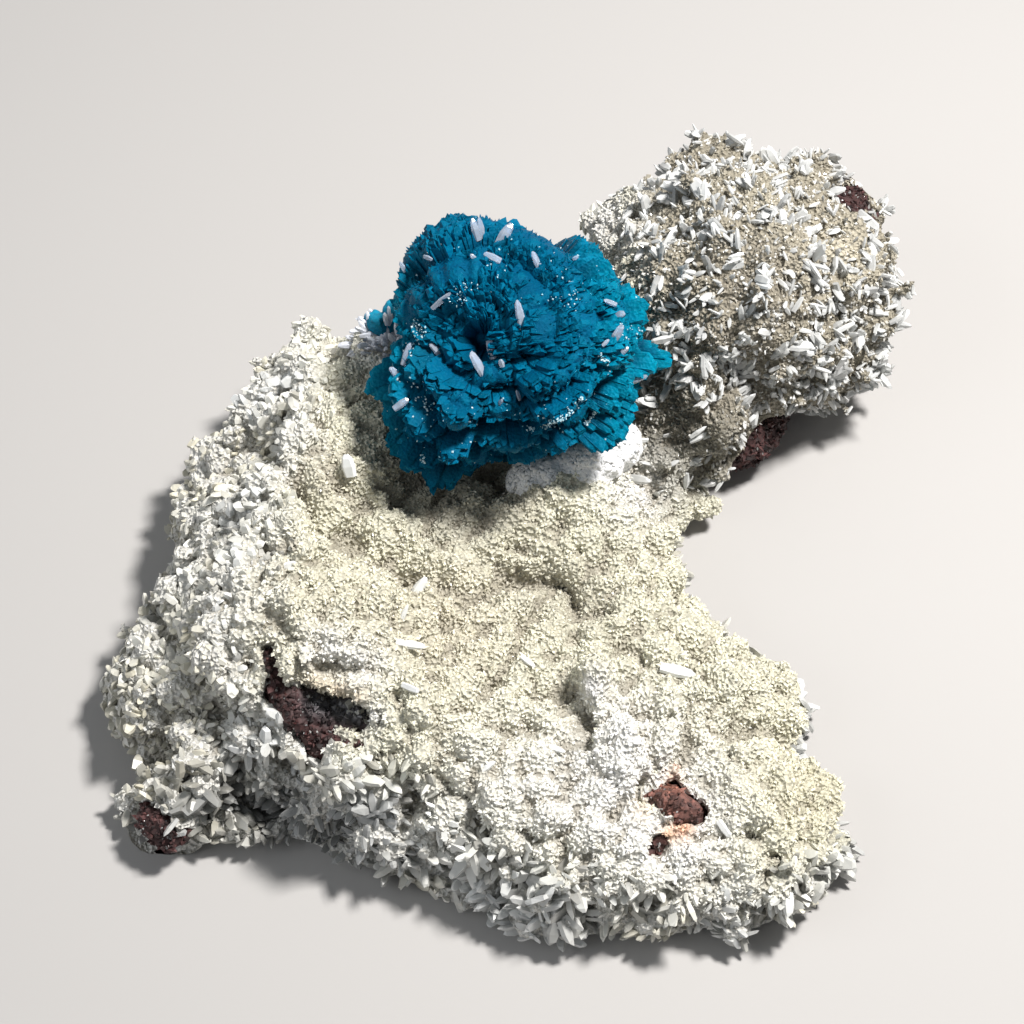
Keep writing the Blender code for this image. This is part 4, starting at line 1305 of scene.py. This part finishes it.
# The single blades of a fan: their spacing along the rim and across it, their play on that grid,
# how far they show, how wide and thick they are, how unevenly they end, and how far they stray
ROSETTE_BLADE = (0.8, 0.5)
RIM_JITTER = 0.6
LAYER_JITTER = 0.3
LAYER_TAPER = 0.25
BLADE_SHOWN = (3.5, 6.0)
BLADE_WIDE = (1.0, 1.9)
BLADE_THICK = (0.45, 0.8)
RIM_PLAY = (-0.28, 0.08)
RIB_PLAY = (-0.12, 0.0)
RIB_FILL = 1.9
RIM_TEETH = 0.4
TOOTH_SIZE = 1.5
POINT_SMOOTHS = 4.0
TEETH_SMOOTHED = 0.8
RIM_WEDGE = 0.9
BASE_SPREAD = 0.75
BASE_BEND = 0.3
BLADE_STRAY = 0.02
FACING_STRAY = 0.12
ROSETTE_WOBBLE = 0.12
HIDDEN_UNDER = 0.25
TIP_SHARE = 0.9

# How painted shade darkens the creases between the fans, both on the body and on the blades that stand in
# them
CREASE_DEPTH = 9
CREASE_ROUNDS = 40
CREASE_SHARE = 0.9
BODY_SHADE_RANGE = (0.3, 4.2)
BLADE_SHADE_RANGE = (0.3, 3.8)
ROOT_DEEPER = 1.8
EDGE_ROUNDS = 4
EDGE_RANGE = (0.02, 0.16)
TIP_THIN = 0.8
ROSETTE_PLAY = (0.8, 1.25)

# Short blade ends that clothe the body where no blade of a fan covers it
END_TRIES = 16000
END_COUNT = 2600
END_GAP = 0.12
END_LENGTH = (1.2, 2.2)
END_SHOWN = (0.06, 0.26)
END_WIDTH = 0.55
END_THICKNESS = 0.35
END_THIN = 0.2
END_PLAY = (0.8, 1.2)
END_WOBBLE = 0.15
END_HIDDEN = 0.3
END_OUTWARD = 0.5

# Fine ribs on the body that radiate from the pit: their width in radians, their length, their height
RIB_ANGLE = 0.11
RIB_LENGTH = 5.0
RIB_RISE = 0.28
BODY_KNOBS = [(1.2, 0.08), (0.6, 0.06)]

BLUE_BODY = (0.0, 0.092, 0.192)
BLUE_DEEP_SHADE = (0.0, 0.014, 0.046)
BLUE_RIM = (0.0, 0.270, 0.400)
BLUE_WANDER = [(5.0, 0.6), (1.6, 0.4)]
BLUE_WANDERS = 0.2

# How far light comes through: on thin edges, more so towards the rims at both sides
RIGHT_RIM = (0.35, 0.95)
LEFT_RIM = (0.5, 0.95)
LEFT_SHARE = 0.6
GLOW_THIN = 0.25
GLOW_THIN_RIM = 0.5
GLOW_RIM = 0.35
GLOW_MOST = 0.9


def ball_reach(towards):
    """How far the rosette reaches from its centre in each direction."""
    right, up, near = towards @ VIEW_RIGHT, towards @ VIEW_UP, -(towards @ VIEW_AWAY)
    angles, reaches = zip(*ROSETTE_REACH)
    outline = np.interp(np.degrees(np.arctan2(up, right)) % 360, angles, reaches, period=360)
    reach = ROSETTE_RADIUS + (outline - ROSETTE_RADIUS) * np.hypot(right, up)
    pit_right, pit_up = (place / ROSETTE_RADIUS for place in PIT_PLACE)
    from_pit = np.hypot(right - pit_right, up - pit_up) / PIT_SPREAD
    return reach - PIT_DEPTH * np.exp(-from_pit ** 2) * (near > 0)


def on_ball(place, lift=0.0):
    """The point on the ball that appears at a place right and up of the rosette's centre."""
    right, up = place
    reach = ROSETTE_RADIUS
    for _ in range(4):
        near = math.sqrt(max(reach * reach - right * right - up * up, 0.0))
        towards = unit(right * VIEW_RIGHT + up * VIEW_UP - near * VIEW_AWAY)
        reach = max(float(ball_reach(towards)), math.hypot(right, up))
    point = ROSETTE_CENTRE + towards * (reach + lift)
    return np.array([point[0], point[1], min(point[2], ROSETTE_TOP)])


ROSETTE_VIEW = in_display_view(ROSETTE_CENTRE[None])[0]
SPRAY_ROOT = ROSETTE_CENTRE + SPRAY_DEPTH * unit(on_ball(PIT_PLACE) - ROSETTE_CENTRE)


def fan_axes(root, middle, lean):
    """A fan's reach, and the directions out, along its rim and across its thickness."""
    reach = np.linalg.norm(middle - root)
    towards = (middle - root) / reach
    turn = math.radians(lean)
    across = math.cos(turn) * VIEW_RIGHT + math.sin(turn) * VIEW_UP
    across = unit(across - towards * (across @ towards))
    return reach, towards, across, np.cross(towards, across)


def rim_reach(reach, share, point):
    """How far a fan reaches at each share of its rim: less towards both ends, or to a point."""
    return reach * (1 - RIM_ROUND * abs(share) ** 3 - point * abs(share))


def fan(root, middle, rim, thick, lean, point=0.0, bend=0.0, step=BLADE_STEP):
    """One fan of blades from its root to its rim, which runs along the lean seen from the front.

    The rim is stepped in small cells, each the end of one blade, and the sides are pleated.
    """
    reach, towards, across, side = fan_axes(root, middle, lean)
    share = np.linspace(-1, 1, FAN_COLUMNS)
    spread = rim / (2 * reach)
    rays = np.outer(np.cos(share * spread), towards) + np.outer(np.sin(share * spread), across)
    out, level = (np.array(values) for values in zip(*FAN_SIDE))
    out = np.concatenate([out, np.ones(len(FAN_RIM)), out[::-1]])
    level = np.concatenate([-level, FAN_RIM, level[::-1]])
    where, height = np.meshgrid(share * rim / 2, level * thick / 2, indexing="ij")
    seed = np.full(where.shape, round(float(middle.sum()) * PLEAT_SEED))
    cells = np.stack([np.floor(where / BLADE_CELL), np.floor(height / BLADE_CELL + 0.5), seed], axis=2)
    ends = cell_value(cells.astype(np.int64)) * (out > RIM_FROM)
    length = rim_reach(reach, share, point)[:, None] * out
    length = length + step * ends - RIM_BEVEL * thick * level ** 2 * (out == 1.0)
    pleat = cell_value(np.stack([cells[..., 0], 0 * seed, seed], axis=2).astype(np.int64))
    half = thick / 2 * ((1 - abs(share) ** 4) ** 0.5)[:, None] * (1 + PLEAT * pleat)
    points = root + rays[:, None] * length[:, :, None]
    return points + (half * level + bend * out ** 3)[:, :, None] * side


def fan_blades(root, middle, rim, thick, lean, point, bend, play, draw):
    """The single blades of a fan, as base, direction, facing and size of each."""
    reach, towards, across, side = fan_axes(root, middle, lean)
    columns, layers = max(3, round(rim / ROSETTE_BLADE[0])), max(2, round(thick / ROSETTE_BLADE[1]))
    grids = np.meshgrid(np.linspace(-1, 1, columns), np.linspace(-0.5, 0.5, layers))
    share, level = (grid.ravel() for grid in grids)
    count = len(share)
    share = share + draw.uniform(-RIM_JITTER, RIM_JITTER, count) / columns
    level = level * (1 - LAYER_TAPER * share ** 2) + draw.uniform(-LAYER_JITTER, LAYER_JITTER, count) / layers
    spread = share * rim / (2 * reach)
    out = np.cos(spread)[:, None] * towards + np.sin(spread)[:, None] * across
    tip = rim_reach(reach, share, point) - RIM_WEDGE * thick * level ** 2
    along_rim = np.stack([share * rim / 2, level * thick / 2, np.full(count, middle.sum())], axis=1)
    teeth = RIM_TEETH * (play is RIM_PLAY) * (1 - min(POINT_SMOOTHS * point, TEETH_SMOOTHED))
    tip += draw.uniform(*play, count) + teeth * lattice_noise(along_rim, TOOTH_SIZE, 8)
    length = draw.uniform(*BLADE_SHOWN, count)
    at_base = BASE_SPREAD * thick * level + BASE_BEND * bend
    beyond = (1 - BASE_SPREAD) * thick * level + (1 - BASE_BEND) * bend
    bases = root + out * (tip - length)[:, None] + side * at_base[:, None]
    run = unit(out * length[:, None] + side * beyond[:, None])
    run = strayed(run, BLADE_STRAY, draw)
    facing = strayed(np.tile(side, (count, 1)), FACING_STRAY, draw)
    fill = RIB_FILL if play is RIB_PLAY else 1.0
    wide, deep = draw.uniform(*BLADE_WIDE, count), fill * draw.uniform(*BLADE_THICK, count)
    return bases, run, facing, np.stack([length, wide, deep], axis=1)


def even_directions(count):
    """Directions spread evenly over the whole sphere."""
    step = np.arange(count) + 0.5
    turn = step * math.pi * (1 + math.sqrt(5))
    height = 1 - 2 * step / count
    ring = np.sqrt(1 - height * height)
    return np.column_stack([ring * np.cos(turn), ring * np.sin(turn), height])


def all_fans():
    """The bodies of all the rosette's fans, and their single blades."""
    draw = np.random.default_rng(71)
    fans, blades = [], []

    def add(root, middle, body, rim, thick, lean, point, bend, play, slim=BODY_SLIM, step=BLADE_STEP):
        fans.append(fan(root, body, rim * slim[0], thick * slim[1], lean, point, bend, step))
        blades.append(fan_blades(root, middle, rim, thick, lean, point, bend, play, draw))

    for rows, play, sunk in ((FANS, RIM_PLAY, BODY_SUNK), (LOBE_FANS, RIB_PLAY, RIB_SUNK)):
        for place, rim, thick, lean, lift, point in rows:
            middle, body = on_ball(place, lift), on_ball(place, lift - sunk)
            bend = draw.uniform(-FAN_BEND, FAN_BEND)
            add(SPRAY_ROOT, middle, body, rim, thick * PETAL_SLIM, lean, point, bend, play)
    for row, (away, rim, thick, lift, play, step) in enumerate(RIB_ROWS):
        for turn in range(RIBS_FROM, RIBS_TO, step):
            lean = turn + draw.uniform(-RIB_STRAY, RIB_STRAY) + (row % 2) * step / 2
            right = PIT_PLACE[0] + away * math.cos(math.radians(lean))
            up = PIT_PLACE[1] + away * math.sin(math.radians(lean))
            if math.hypot(right, up) < RIBS_WITHIN:
                lifted = lift + draw.uniform(-play, play)
                middle = on_ball((right, up), lifted)
                body = on_ball((right, up), lifted - (RIB_SUNK if row else BODY_SUNK))
                bend = draw.uniform(-RIB_BEND, RIB_BEND)
                add(SPRAY_ROOT, middle, body, rim, thick, lean, 0.0, bend, RIB_PLAY, step=RIB_STEP)
    for towards in even_directions(FILLER_FANS):
        seen = -(towards @ VIEW_AWAY) > FILLER_SEEN
        reach = float(ball_reach(towards)) - (FILLER_SUNK if seen else FILLER_SUNK_BEHIND)
        middle = ROSETTE_CENTRE + towards * reach
        rim, thick, lean = draw.uniform(*FILLER_RIM), draw.uniform(*FILLER_THICK), draw.uniform(0, 180)
        bend = draw.uniform(-FILLER_BEND, FILLER_BEND)
        body = middle - towards * BODY_SUNK
        add(ROSETTE_CENTRE, middle, body, rim, thick, lean, 0.0, bend, RIM_PLAY, slim=(1, 1))
    return fans, [np.concatenate(part) for part in zip(*blades)]


def ball_core():
    """The solid heart of the ball, sunk under the pit."""
    heights = np.linspace(-math.pi / 2, math.pi / 2, CORE_ROWS)
    turns = np.linspace(0, 2 * math.pi, CORE_TURNS, endpoint=False)
    towards = np.array([[
        (math.cos(height) * math.cos(turn), math.cos(height) * math.sin(turn), math.sin(height))
        for turn in turns] for height in heights])
    reach = ball_reach(towards.reshape(-1, 3)).reshape(towards.shape[:2]) - CORE_UNDER
    return ROSETTE_CENTRE + towards * np.minimum(ROSETTE_CORE, reach)[:, :, None]


def ring_faces(columns, ring):
    """Triangles of a closed loop of points swept over columns, with its two ends capped."""
    faces = []
    for column, corner in itertools.product(range(columns - 1), range(ring)):
        low, after = column * ring + corner, column * ring + (corner + 1) % ring
        faces += [(low, low + ring, after), (after, low + ring, after + ring)]
    last = (columns - 1) * ring
    for corner in range(1, ring - 1):
        faces += [(0, corner, corner + 1), (last, last + corner + 1, last + corner)]
    return np.array(faces)


def joined(shapes):
    """One mesh of closed loops of points, each an array of columns by ring points."""
    return mesh_of(*merged(*[(shape.reshape(-1, 3), ring_faces(*shape.shape[:2])) for shape in shapes]))


def rosette_blue(places, sunk, thin):
    """Teal on the fans' faces, navy with painted shade deep between them, and brighter with painted light
    coming through where they are thin and towards the rims, most on the right.
    """
    right = unit(places - ROSETTE_CENTRE) @ VIEW_RIGHT
    rim_side = ramp(right, *RIGHT_RIM) + LEFT_SHARE * ramp(-right, *LEFT_RIM)
    wander = 1 + BLUE_WANDERS * layered_noise(places, BLUE_WANDER, seed=17)
    blue = tinted(np.array(BLUE_BODY) * wander[:, None], BLUE_DEEP_SHADE, sunk)
    glow = GLOW_THIN * thin + GLOW_THIN_RIM * thin * rim_side + GLOW_RIM * rim_side * (1 - sunk)
    return tinted(blue, BLUE_RIM, np.clip(glow, 0, GLOW_MOST))


def depth_in_ball(places):
    away = places - ROSETTE_CENTRE
    return ball_reach(unit(away)) - np.linalg.norm(away, axis=1)


def paint_spray(mesh, points, root):
    """Stores the direction from the root, along which the fibres of the mineral run."""
    paint(mesh, "spray", unit(points - root) * 0.5 + 0.5)


fans, (bases, along, facing, sizes) = all_fans()
rosette = skin_of(joined([ball_core(), *fans]), ROSETTE_VOXEL, 1)
places, normals = points_and_normals(rosette)
from_pit = in_display_view(places) - ROSETTE_VIEW - PIT_PLACE
around = np.arctan2(from_pit[:, 1], from_pit[:, 0]) / RIB_ANGLE
outwards = np.linalg.norm(from_pit, axis=1) / RIB_LENGTH
knobs = layered_noise(places, BODY_KNOBS, seed=14)
knobs += RIB_RISE * lattice_noise(np.stack([around, outwards, 0 * around], axis=1), 1.0, 9)
move_points(rosette, places + normals * knobs[:, None])
places, _ = points_and_normals(rosette)
# Painted shade: darker deep in the ball and in the creases between the fans
body_crease_shade = ramp(depth_in_ball(places) + CREASE_DEPTH * hollowness(rosette, CREASE_ROUNDS), *BODY_SHADE_RANGE)
edges = ramp(-hollowness(rosette, EDGE_ROUNDS), *EDGE_RANGE)
paint(rosette, "tint", rosette_blue(places, body_crease_shade, edges))
paint_spray(rosette, places, SPRAY_ROOT)

body_tree = tree_of(rosette)
body_corners = triangles_of(rosette)[:, 0]
kept, crease_shade = [], []
for index, tip in enumerate(bases + along * sizes[:, :1] * TIP_SHARE):
    near, normal, triangle, gap = body_tree.find_nearest(Vector(tip))
    if ((Vector(tip) - near) @ normal > 0 or gap < HIDDEN_UNDER) and tip[2] < BLADE_TOP:
        kept.append(index)
        crease_shade.append(body_crease_shade[body_corners[triangle]])
bases, along, facing, sizes = picked(kept, bases, along, facing, sizes)
draw = np.random.default_rng(73)
shape, faces = BLUNT_BLADE
points, corners = grow(shape, faces, bases, along, facing, sizes, draw, ROSETTE_WOBBLE)
share = np.tile(shape[:, 0], len(bases))
# Painted shade on the blades: darker at their roots, deep in the ball and in the creases
sunk = ramp(depth_in_ball(points) + ROOT_DEEPER * (1 - share), *BLADE_SHADE_RANGE)
sunk = np.maximum(sunk, CREASE_SHARE * np.repeat(crease_shade, len(shape)))
shade = np.repeat(draw.uniform(*ROSETTE_PLAY, len(bases)), len(shape))
blue = rosette_blue(points, sunk, TIP_THIN * share ** 3) * shade[:, None]

fan_tree = BVHTree.FromPolygons(points.tolist(), corners.tolist())
ends, normals, close = scatter(rosette, END_TRIES, seed=74)
chosen = (distance_to(fan_tree, ends) > END_GAP) & (normals @ VIEW_AWAY < END_HIDDEN) & (ends[:, 2] < END_TOP)
ends, normals, close = picked(np.flatnonzero(chosen)[:END_COUNT], ends, normals, close)
along = unit(unit(ends - SPRAY_ROOT) + END_OUTWARD * normals)
length = draw.uniform(*END_LENGTH, len(ends))
bases = ends - along * (length - draw.uniform(*END_SHOWN, len(ends)))[:, None]
end_points, end_corners = pyramids(bases, along, sized(length, END_WIDTH, END_THICKNESS), draw, END_WOBBLE)
sunk = np.repeat(body_crease_shade[close], len(PYRAMID))
shade = np.repeat(draw.uniform(*END_PLAY, len(ends)), len(PYRAMID))
end_blue = rosette_blue(end_points, sunk, np.full(len(sunk), END_THIN)) * shade[:, None]
points, corners = merged((points, corners), (end_points, end_corners))
rosette_blades = mesh_of(points, corners)
paint(rosette_blades, "tint", np.concatenate([blue, end_blue]))
paint_spray(rosette_blades, points, SPRAY_ROOT)

cavansite, tree, shader = new_material(
    "cavansite", Specular_IOR_Level=0.22, Specular_Tint=(0.15, 0.6, 0.8, 1), Subsurface_Weight=0.1,
    Subsurface_Scale=0.0005, Subsurface_Radius=(0.05, 0.5, 1.0),
)
spray = read_attribute(tree, "spray", "Vector")
fibre = add_node(tree, "ShaderNodeTexNoise", Vector=spray, Scale=130.0, Detail=3.0, Roughness=0.6)
grain = placed_group(tree, GRAIN, Scale=2600.0, Contrast=1.5)
streaked = mixed(tree, fibre.outputs["Fac"], (0.55, 0.6, 0.65, 1), (1.0, 1.0, 1.0, 1))
tint = read_attribute(tree, "tint", "Color")
feed(tree, shader.inputs["Base Color"], multiplied(tree, tint, streaked))
glint = placed_group(tree, GLINTS, Scale=3500.0, Share=0.05)
map_roughness(tree, shader, glint["Mask"], dull=0.55, glossy=0.15)
relief = computed(tree, "ADD", fibre.outputs["Fac"], grain["Height"])
add_bump(tree, shader, relief, strength=0.5, distance=0.25)
finish_piece("rosette", rosette, cavansite, ["cavansite_rosette"], smooth=True)
finish_piece("rosette_blades", rosette_blades, cavansite)
rosette_tree = tree_of(rosette_blades)


# The rosette's sparkle
# Tiny bright facets of cavansite that flash along the edges of some fans.
SPARKLE_LINES = [
    (((-10.8, 3.8), (-10.0, 2.4), (-11.6, 0.2)), 0.7, 70),
    (((-5.5, 7.2), (-5.6, 5.6), (-4.6, 8.2)), 1.0, 45),
    (((4.0, -8.6), (6.6, -7.4), (8.8, -5.0)), 0.4, 130),
    (((9.0, -8.2), (10.2, -6.8)), 0.3, 40),
    (((2.0, -8.6), (3.0, -8.8)), 0.3, 20),
    (((3.6, 6.6), (6.0, 6.0), (8.6, 6.4)), 0.7, 26),
    (((-13.0, -1.6), (-10.0, -4.8), (-8.6, -7.0)), 1.4, 34),
    (((-9.8, -10.6), (-9.6, -12.6)), 0.4, 12),
    (((10.6, -0.2), (11.6, -1.2)), 0.3, 24),
    (((-12.0, 9.0), (4.0, 12.0), (12.0, 6.0)), 5.0, 60),
    (((13.0, 2.0), (16.0, 3.0)), 1.2, 30),
    (((-12.0, -9.0), (0.0, -9.0), (12.0, -4.0)), 5.0, 70),
]
SPARKLE_SIZE = (0.08, 0.26)
SPARKLE_WIDTH = 1.3
SPARKLE_SUNK = 0.05
SPARKLE_WOBBLE = 0.2

draw = np.random.default_rng(77)
bases, lean = [], []
for path, width, count in SPARKLE_LINES:
    for _ in range(count):
        step = draw.integers(len(path) - 1)
        start, stop = np.array(path[step]), np.array(path[step + 1])
        place = start + (stop - start) * draw.random() + draw.normal(size=2) * width / 2 + ROSETTE_VIEW
        hit, normal, _ = seen_from_front(rosette_tree, place)
        if hit is not None:
            bases.append(hit)
            lean.append(normal)
bases, lean = np.array(bases), np.array(lean)
sizes = sized(draw.uniform(*SPARKLE_SIZE, len(bases)), SPARKLE_WIDTH, SPARKLE_WIDTH)
facets = mesh_of(*pyramids(bases - lean * SPARKLE_SUNK, lean, sizes, draw, SPARKLE_WOBBLE))


def grained_colour(tree, shader, scale, contrast, first, second):
    """A colour that wanders between two with the mineral's grain, which it hands back."""
    grain = placed_group(tree, GRAIN, Scale=scale, Contrast=contrast)
    feed(tree, shader.inputs["Base Color"], mixed(tree, grain["Value"], first, second))
    return grain


glinting_facets, tree, shader = new_material("cavansite_facets", Roughness=0.1, Specular_IOR_Level=1.0)
# Their colour runs from blue to near white, partly a painted glint on top of their real gloss
grained_colour(tree, shader, 3000.0, 2.5, (0.05, 0.45, 0.6, 1), (0.9, 0.97, 1.0, 1))
finish_piece("rosette_sparkle", facets, glinting_facets)


# The cavansite sprig
# A small pale blue group at the rosette's left, three fans with clear stilbite blades round it.
SPRIG_PLACE = np.array([-15.4, 24.4, 15.8])
SPRIG_ROOT = SPRIG_PLACE - [0, 0, 1.5]
SPRIG_VOXEL = 0.2

# Each fan: where it points, its length, its rim, its lean in degrees
SPRIG_FANS = [
    ((-1.0, 0.9, 0.5), 4.0, 3.2, 40),
    ((0.1, 1.0, 0.7), 4.2, 3.0, 5),
    ((-0.6, 0.2, 1.0), 3.6, 3.0, 70),
    ((-1.0, 0.3, 0.8), 3.2, 2.4, 110),
]
SPRIG_THICK = 1.3
SPRIG_POINT = 0.1
SPRIG_BLUE = (0.02, 0.33, 0.50)
SPRIG_WANDER = [(1.2, 0.3)]

shapes = []
for towards, length, rim, lean in SPRIG_FANS:
    tip = SPRIG_PLACE + unit(np.array(towards)) * length
    shapes.append(fan(SPRIG_ROOT, tip, rim, SPRIG_THICK, lean, SPRIG_POINT))
sprig = skin_of(joined(shapes), SPRIG_VOXEL, 1)
places, normals = points_and_normals(sprig)
paint(sprig, "tint", np.array(SPRIG_BLUE) * (1 + layered_noise(places, SPRIG_WANDER))[:, None])
paint_spray(sprig, places, SPRIG_PLACE)
finish_piece("sprig", sprig, cavansite, ["cavansite_sprig"], smooth=True)


# The white cushion
# A snow-white mat of very fine stilbite fibres that swells from under the rosette's front.
CUSHION_VOXEL = 0.35
CUSHION_ROUNDS = 3
CUSHION_RELIEF = [(2.2, 0.35), (0.9, 0.2)]
FUZZ_COUNT = 5000
FUZZ_LENGTH = (0.36, 0.46)
FUZZ_WIDTH = 2.4
FUZZ_SUNK = 0.28
FUZZ_LEAN = 0.2
FUZZ_WOBBLE = 0.06

cushion = skin_of(copy_of("white_cushion"), CUSHION_VOXEL, CUSHION_ROUNDS)
places, normals = points_and_normals(cushion)
move_points(cushion, places + normals * layered_noise(places, CUSHION_RELIEF, seed=3)[:, None])
places, normals, _ = scatter(cushion, FUZZ_COUNT, seed=81)
draw = np.random.default_rng(82)
sizes = sized(draw.uniform(*FUZZ_LENGTH, FUZZ_COUNT), FUZZ_WIDTH, FUZZ_WIDTH)
along = normals + FUZZ_LEAN * random_directions(draw, FUZZ_COUNT)
fuzz = mesh_of(*pyramids(places - normals * FUZZ_SUNK, along, sizes, draw, FUZZ_WOBBLE))
white_fibre, tree, shader = new_material("white_fibre", Specular_IOR_Level=0.3, Roughness=0.65)
grain = grained_colour(tree, shader, 2200.0, 1.2, (0.86, 0.87, 0.88, 1), (0.91, 0.91, 0.91, 1))
add_bump(tree, shader, grain["Value"], strength=0.15, distance=0.1)
finish_piece("cushion", cushion, white_fibre, ["white_cushion"], smooth=True)
finish_piece("cushion_fuzz", fuzz, white_fibre, smooth=True)


# Clear stilbite crystals
# Loose clear to milky blades that came to rest on the rosette, and a nest of them by the sprig.
# Each row has the place where it appears, right and up of the rosette's centre, the angle of
# its length in degrees, its length and its width.
CRYSTALS_IN_CAD = [
    ((1.5, 4.0), 102, 3.9, 0.95), ((-3.9, 14.2), 118, 2.6, 1.0), ((-1.7, 11.0), 155, 2.1, 0.9),
    ((3.2, 10.4), 120, 2.7, 0.9), ((-3.7, -1.3), 128, 3.0, 1.25), ((-12.3, -5.9), 35, 2.1, 0.85),
    ((-0.7, -5.8), 5, 1.8, 0.65), ((13.2, 0.2), 30, 1.9, 1.05),
]
OTHER_CRYSTALS = [
    ((-3.2, 14.4), 100, 2.4, 0.9), ((3.9, 13.9), 140, 1.9, 0.7), ((-3.5, 10.7), 125, 2.2, 0.7),
    ((-0.5, 13.6), 60, 2.8, 1.3), ((-1.7, 0.4), 100, 2.3, 1.15), ((-0.5, -1.1), 90, 0.9, 0.8),
    ((-9.0, 11.1), 8, 1.4, 0.6), ((-11.9, 9.8), 120, 1.3, 0.6), ((-4.9, 9.0), 30, 0.9, 0.7),
    ((-8.1, 0.1), 142, 3.0, 0.9), ((-13.0, -2.3), 135, 1.8, 0.8), ((1.0, -4.9), 130, 1.3, 0.5),
    ((12.4, 2.2), 85, 2.8, 1.1), ((11.3, 1.0), 40, 1.0, 0.5), ((14.8, -2.9), 20, 2.6, 0.9),
    ((15.9, -3.3), 60, 2.0, 0.8), ((17.3, -2.9), 80, 2.2, 0.9), ((18.2, -3.6), 110, 1.2, 0.6),
    ((11.8, 5.8), 160, 1.5, 0.6), ((13.1, 4.4), 10, 1.1, 0.9), ((2.8, 7.1), 140, 1.3, 0.45),
    ((-7.7, 6.2), 58, 3.0, 0.7), ((7.6, 11.0), 30, 0.7, 0.5), ((-11.6, -0.2), 70, 2.6, 0.8),
    ((17.6, 0.6), 150, 2.0, 0.9),
]
CRYSTAL_DEPTH = 0.5
CRYSTAL_LIFT = 0.25
CRYSTAL_RISE = 0.1
CRYSTAL_TOWARDS = 0.15
CRYSTAL_WOBBLE = 0.05

# The nest by the sprig: how many blades, where and how far they spread, their sizes, their lean
NEST_BLADES = 130
NEST_SPREAD = (1.9, 1.8, 1.0)
NEST_BELOW = [0, 0.8, 0.6]
NEST_RISE = [0, 0, 2.5]
NEST_STRAY = 0.5
NEST_LENGTH = (1.1, 2.4)
NEST_WIDTH = 0.45
NEST_THICKNESS = 0.28
NEST_WOBBLE = 0.08


def crystals(rows, tree, centre, draw):
    """Clear blades laid on a surface, each where it appears in the display view."""
    laid = []
    for (right, up), angle, length, width in rows:
        place, normal, _ = seen_from_front(tree, (right + centre[0], up + centre[1]))
        if place is None:
            continue
        turn = math.radians(angle)
        run = math.cos(turn) * VIEW_RIGHT + math.sin(turn) * VIEW_UP - CRYSTAL_TOWARDS * VIEW_AWAY
        run = unit(run - normal * min(run @ normal, 0.0) + CRYSTAL_RISE * normal)
        base = place + normal * CRYSTAL_LIFT - run * length / 2
        laid.append((base, run, unit(normal - VIEW_AWAY), (length, width, width * CRYSTAL_DEPTH)))
    bases, along, facing, sizes = (np.array(values) for values in zip(*laid))
    return mesh_of(*grow(*SLIM_BLADE, bases, along, facing, sizes, draw, CRYSTAL_WOBBLE))


clear_stone, tree, shader = new_material(
    "clear_stilbite", Transmission_Weight=0.6, IOR=1.5, Roughness=0.15, Specular_IOR_Level=0.7,
)
grained_colour(tree, shader, 500.0, 1.2, (0.50, 0.66, 0.90, 1), (0.88, 0.93, 1.0, 1))

milky_stone, _, _ = new_material(
    "milky_stilbite", Transmission_Weight=0.2, IOR=1.5, Roughness=0.25, Base_Color=(0.86, 0.89, 0.96, 1),
)

draw = np.random.default_rng(91)
for number, row in enumerate(CRYSTALS_IN_CAD, 1):
    crystal = crystals([row], rosette_tree, ROSETTE_VIEW, draw)
    node = f"stilbite_on_rosette_{number}"
    finish_piece(f"crystal_{number}", crystal, clear_stone, [node])
small_crystals = crystals(OTHER_CRYSTALS, rosette_tree, ROSETTE_VIEW, draw)
finish_piece("small_crystals", small_crystals, clear_stone)
bases = SPRIG_PLACE + draw.normal(size=(NEST_BLADES, 3)) * NEST_SPREAD - NEST_BELOW
along = strayed(unit(bases - SPRIG_PLACE + NEST_RISE), NEST_STRAY, draw)
sizes = sized(draw.uniform(*NEST_LENGTH, NEST_BLADES), NEST_WIDTH, NEST_THICKNESS)
nest = grow(*SLIM_BLADE, bases, along, random_directions(draw, NEST_BLADES), sizes, draw, NEST_WOBBLE)
finish_piece("sprig_crystals", mesh_of(*nest), milky_stone)


# Loose blades on the face
# A few flat stilbite blades that stand alone on the cream face, each with its own short shadow.
# Each row has its place in the display view, the angle of its length, its length and its width.
FACE_BLADES = [
    ((-10.9, -9.2), 60, 3.2, 1.4), ((-11.9, -15.3), -10, 3.3, 1.0), ((-11.5, -20.3), -15, 2.5, 0.8),
    ((-18.7, 5.4), 95, 2.6, 1.7), ((19.0, -18.4), -15, 3.8, 1.4), ((1.8, -17.3), -40, 2.0, 0.7),
    ((-12.6, -11.8), 70, 2.2, 0.6), ((24.6, -36.4), -50, 2.2, 0.9), ((30.2, -9.0), 30, 1.8, 0.7),
    ((-26.0, -6.2), 20, 2.4, 1.0), ((5.0, -27.4), -20, 1.9, 0.7), ((-3.0, -29.5), 35, 2.2, 0.8),
]

loose = crystals(FACE_BLADES, crust_tree, (0, 0), draw)
paint(loose, "tint", np.tile(BLADE_WHITE, (len(loose.vertices), 1)))
finish_piece("face_blades", loose, blade_stone)
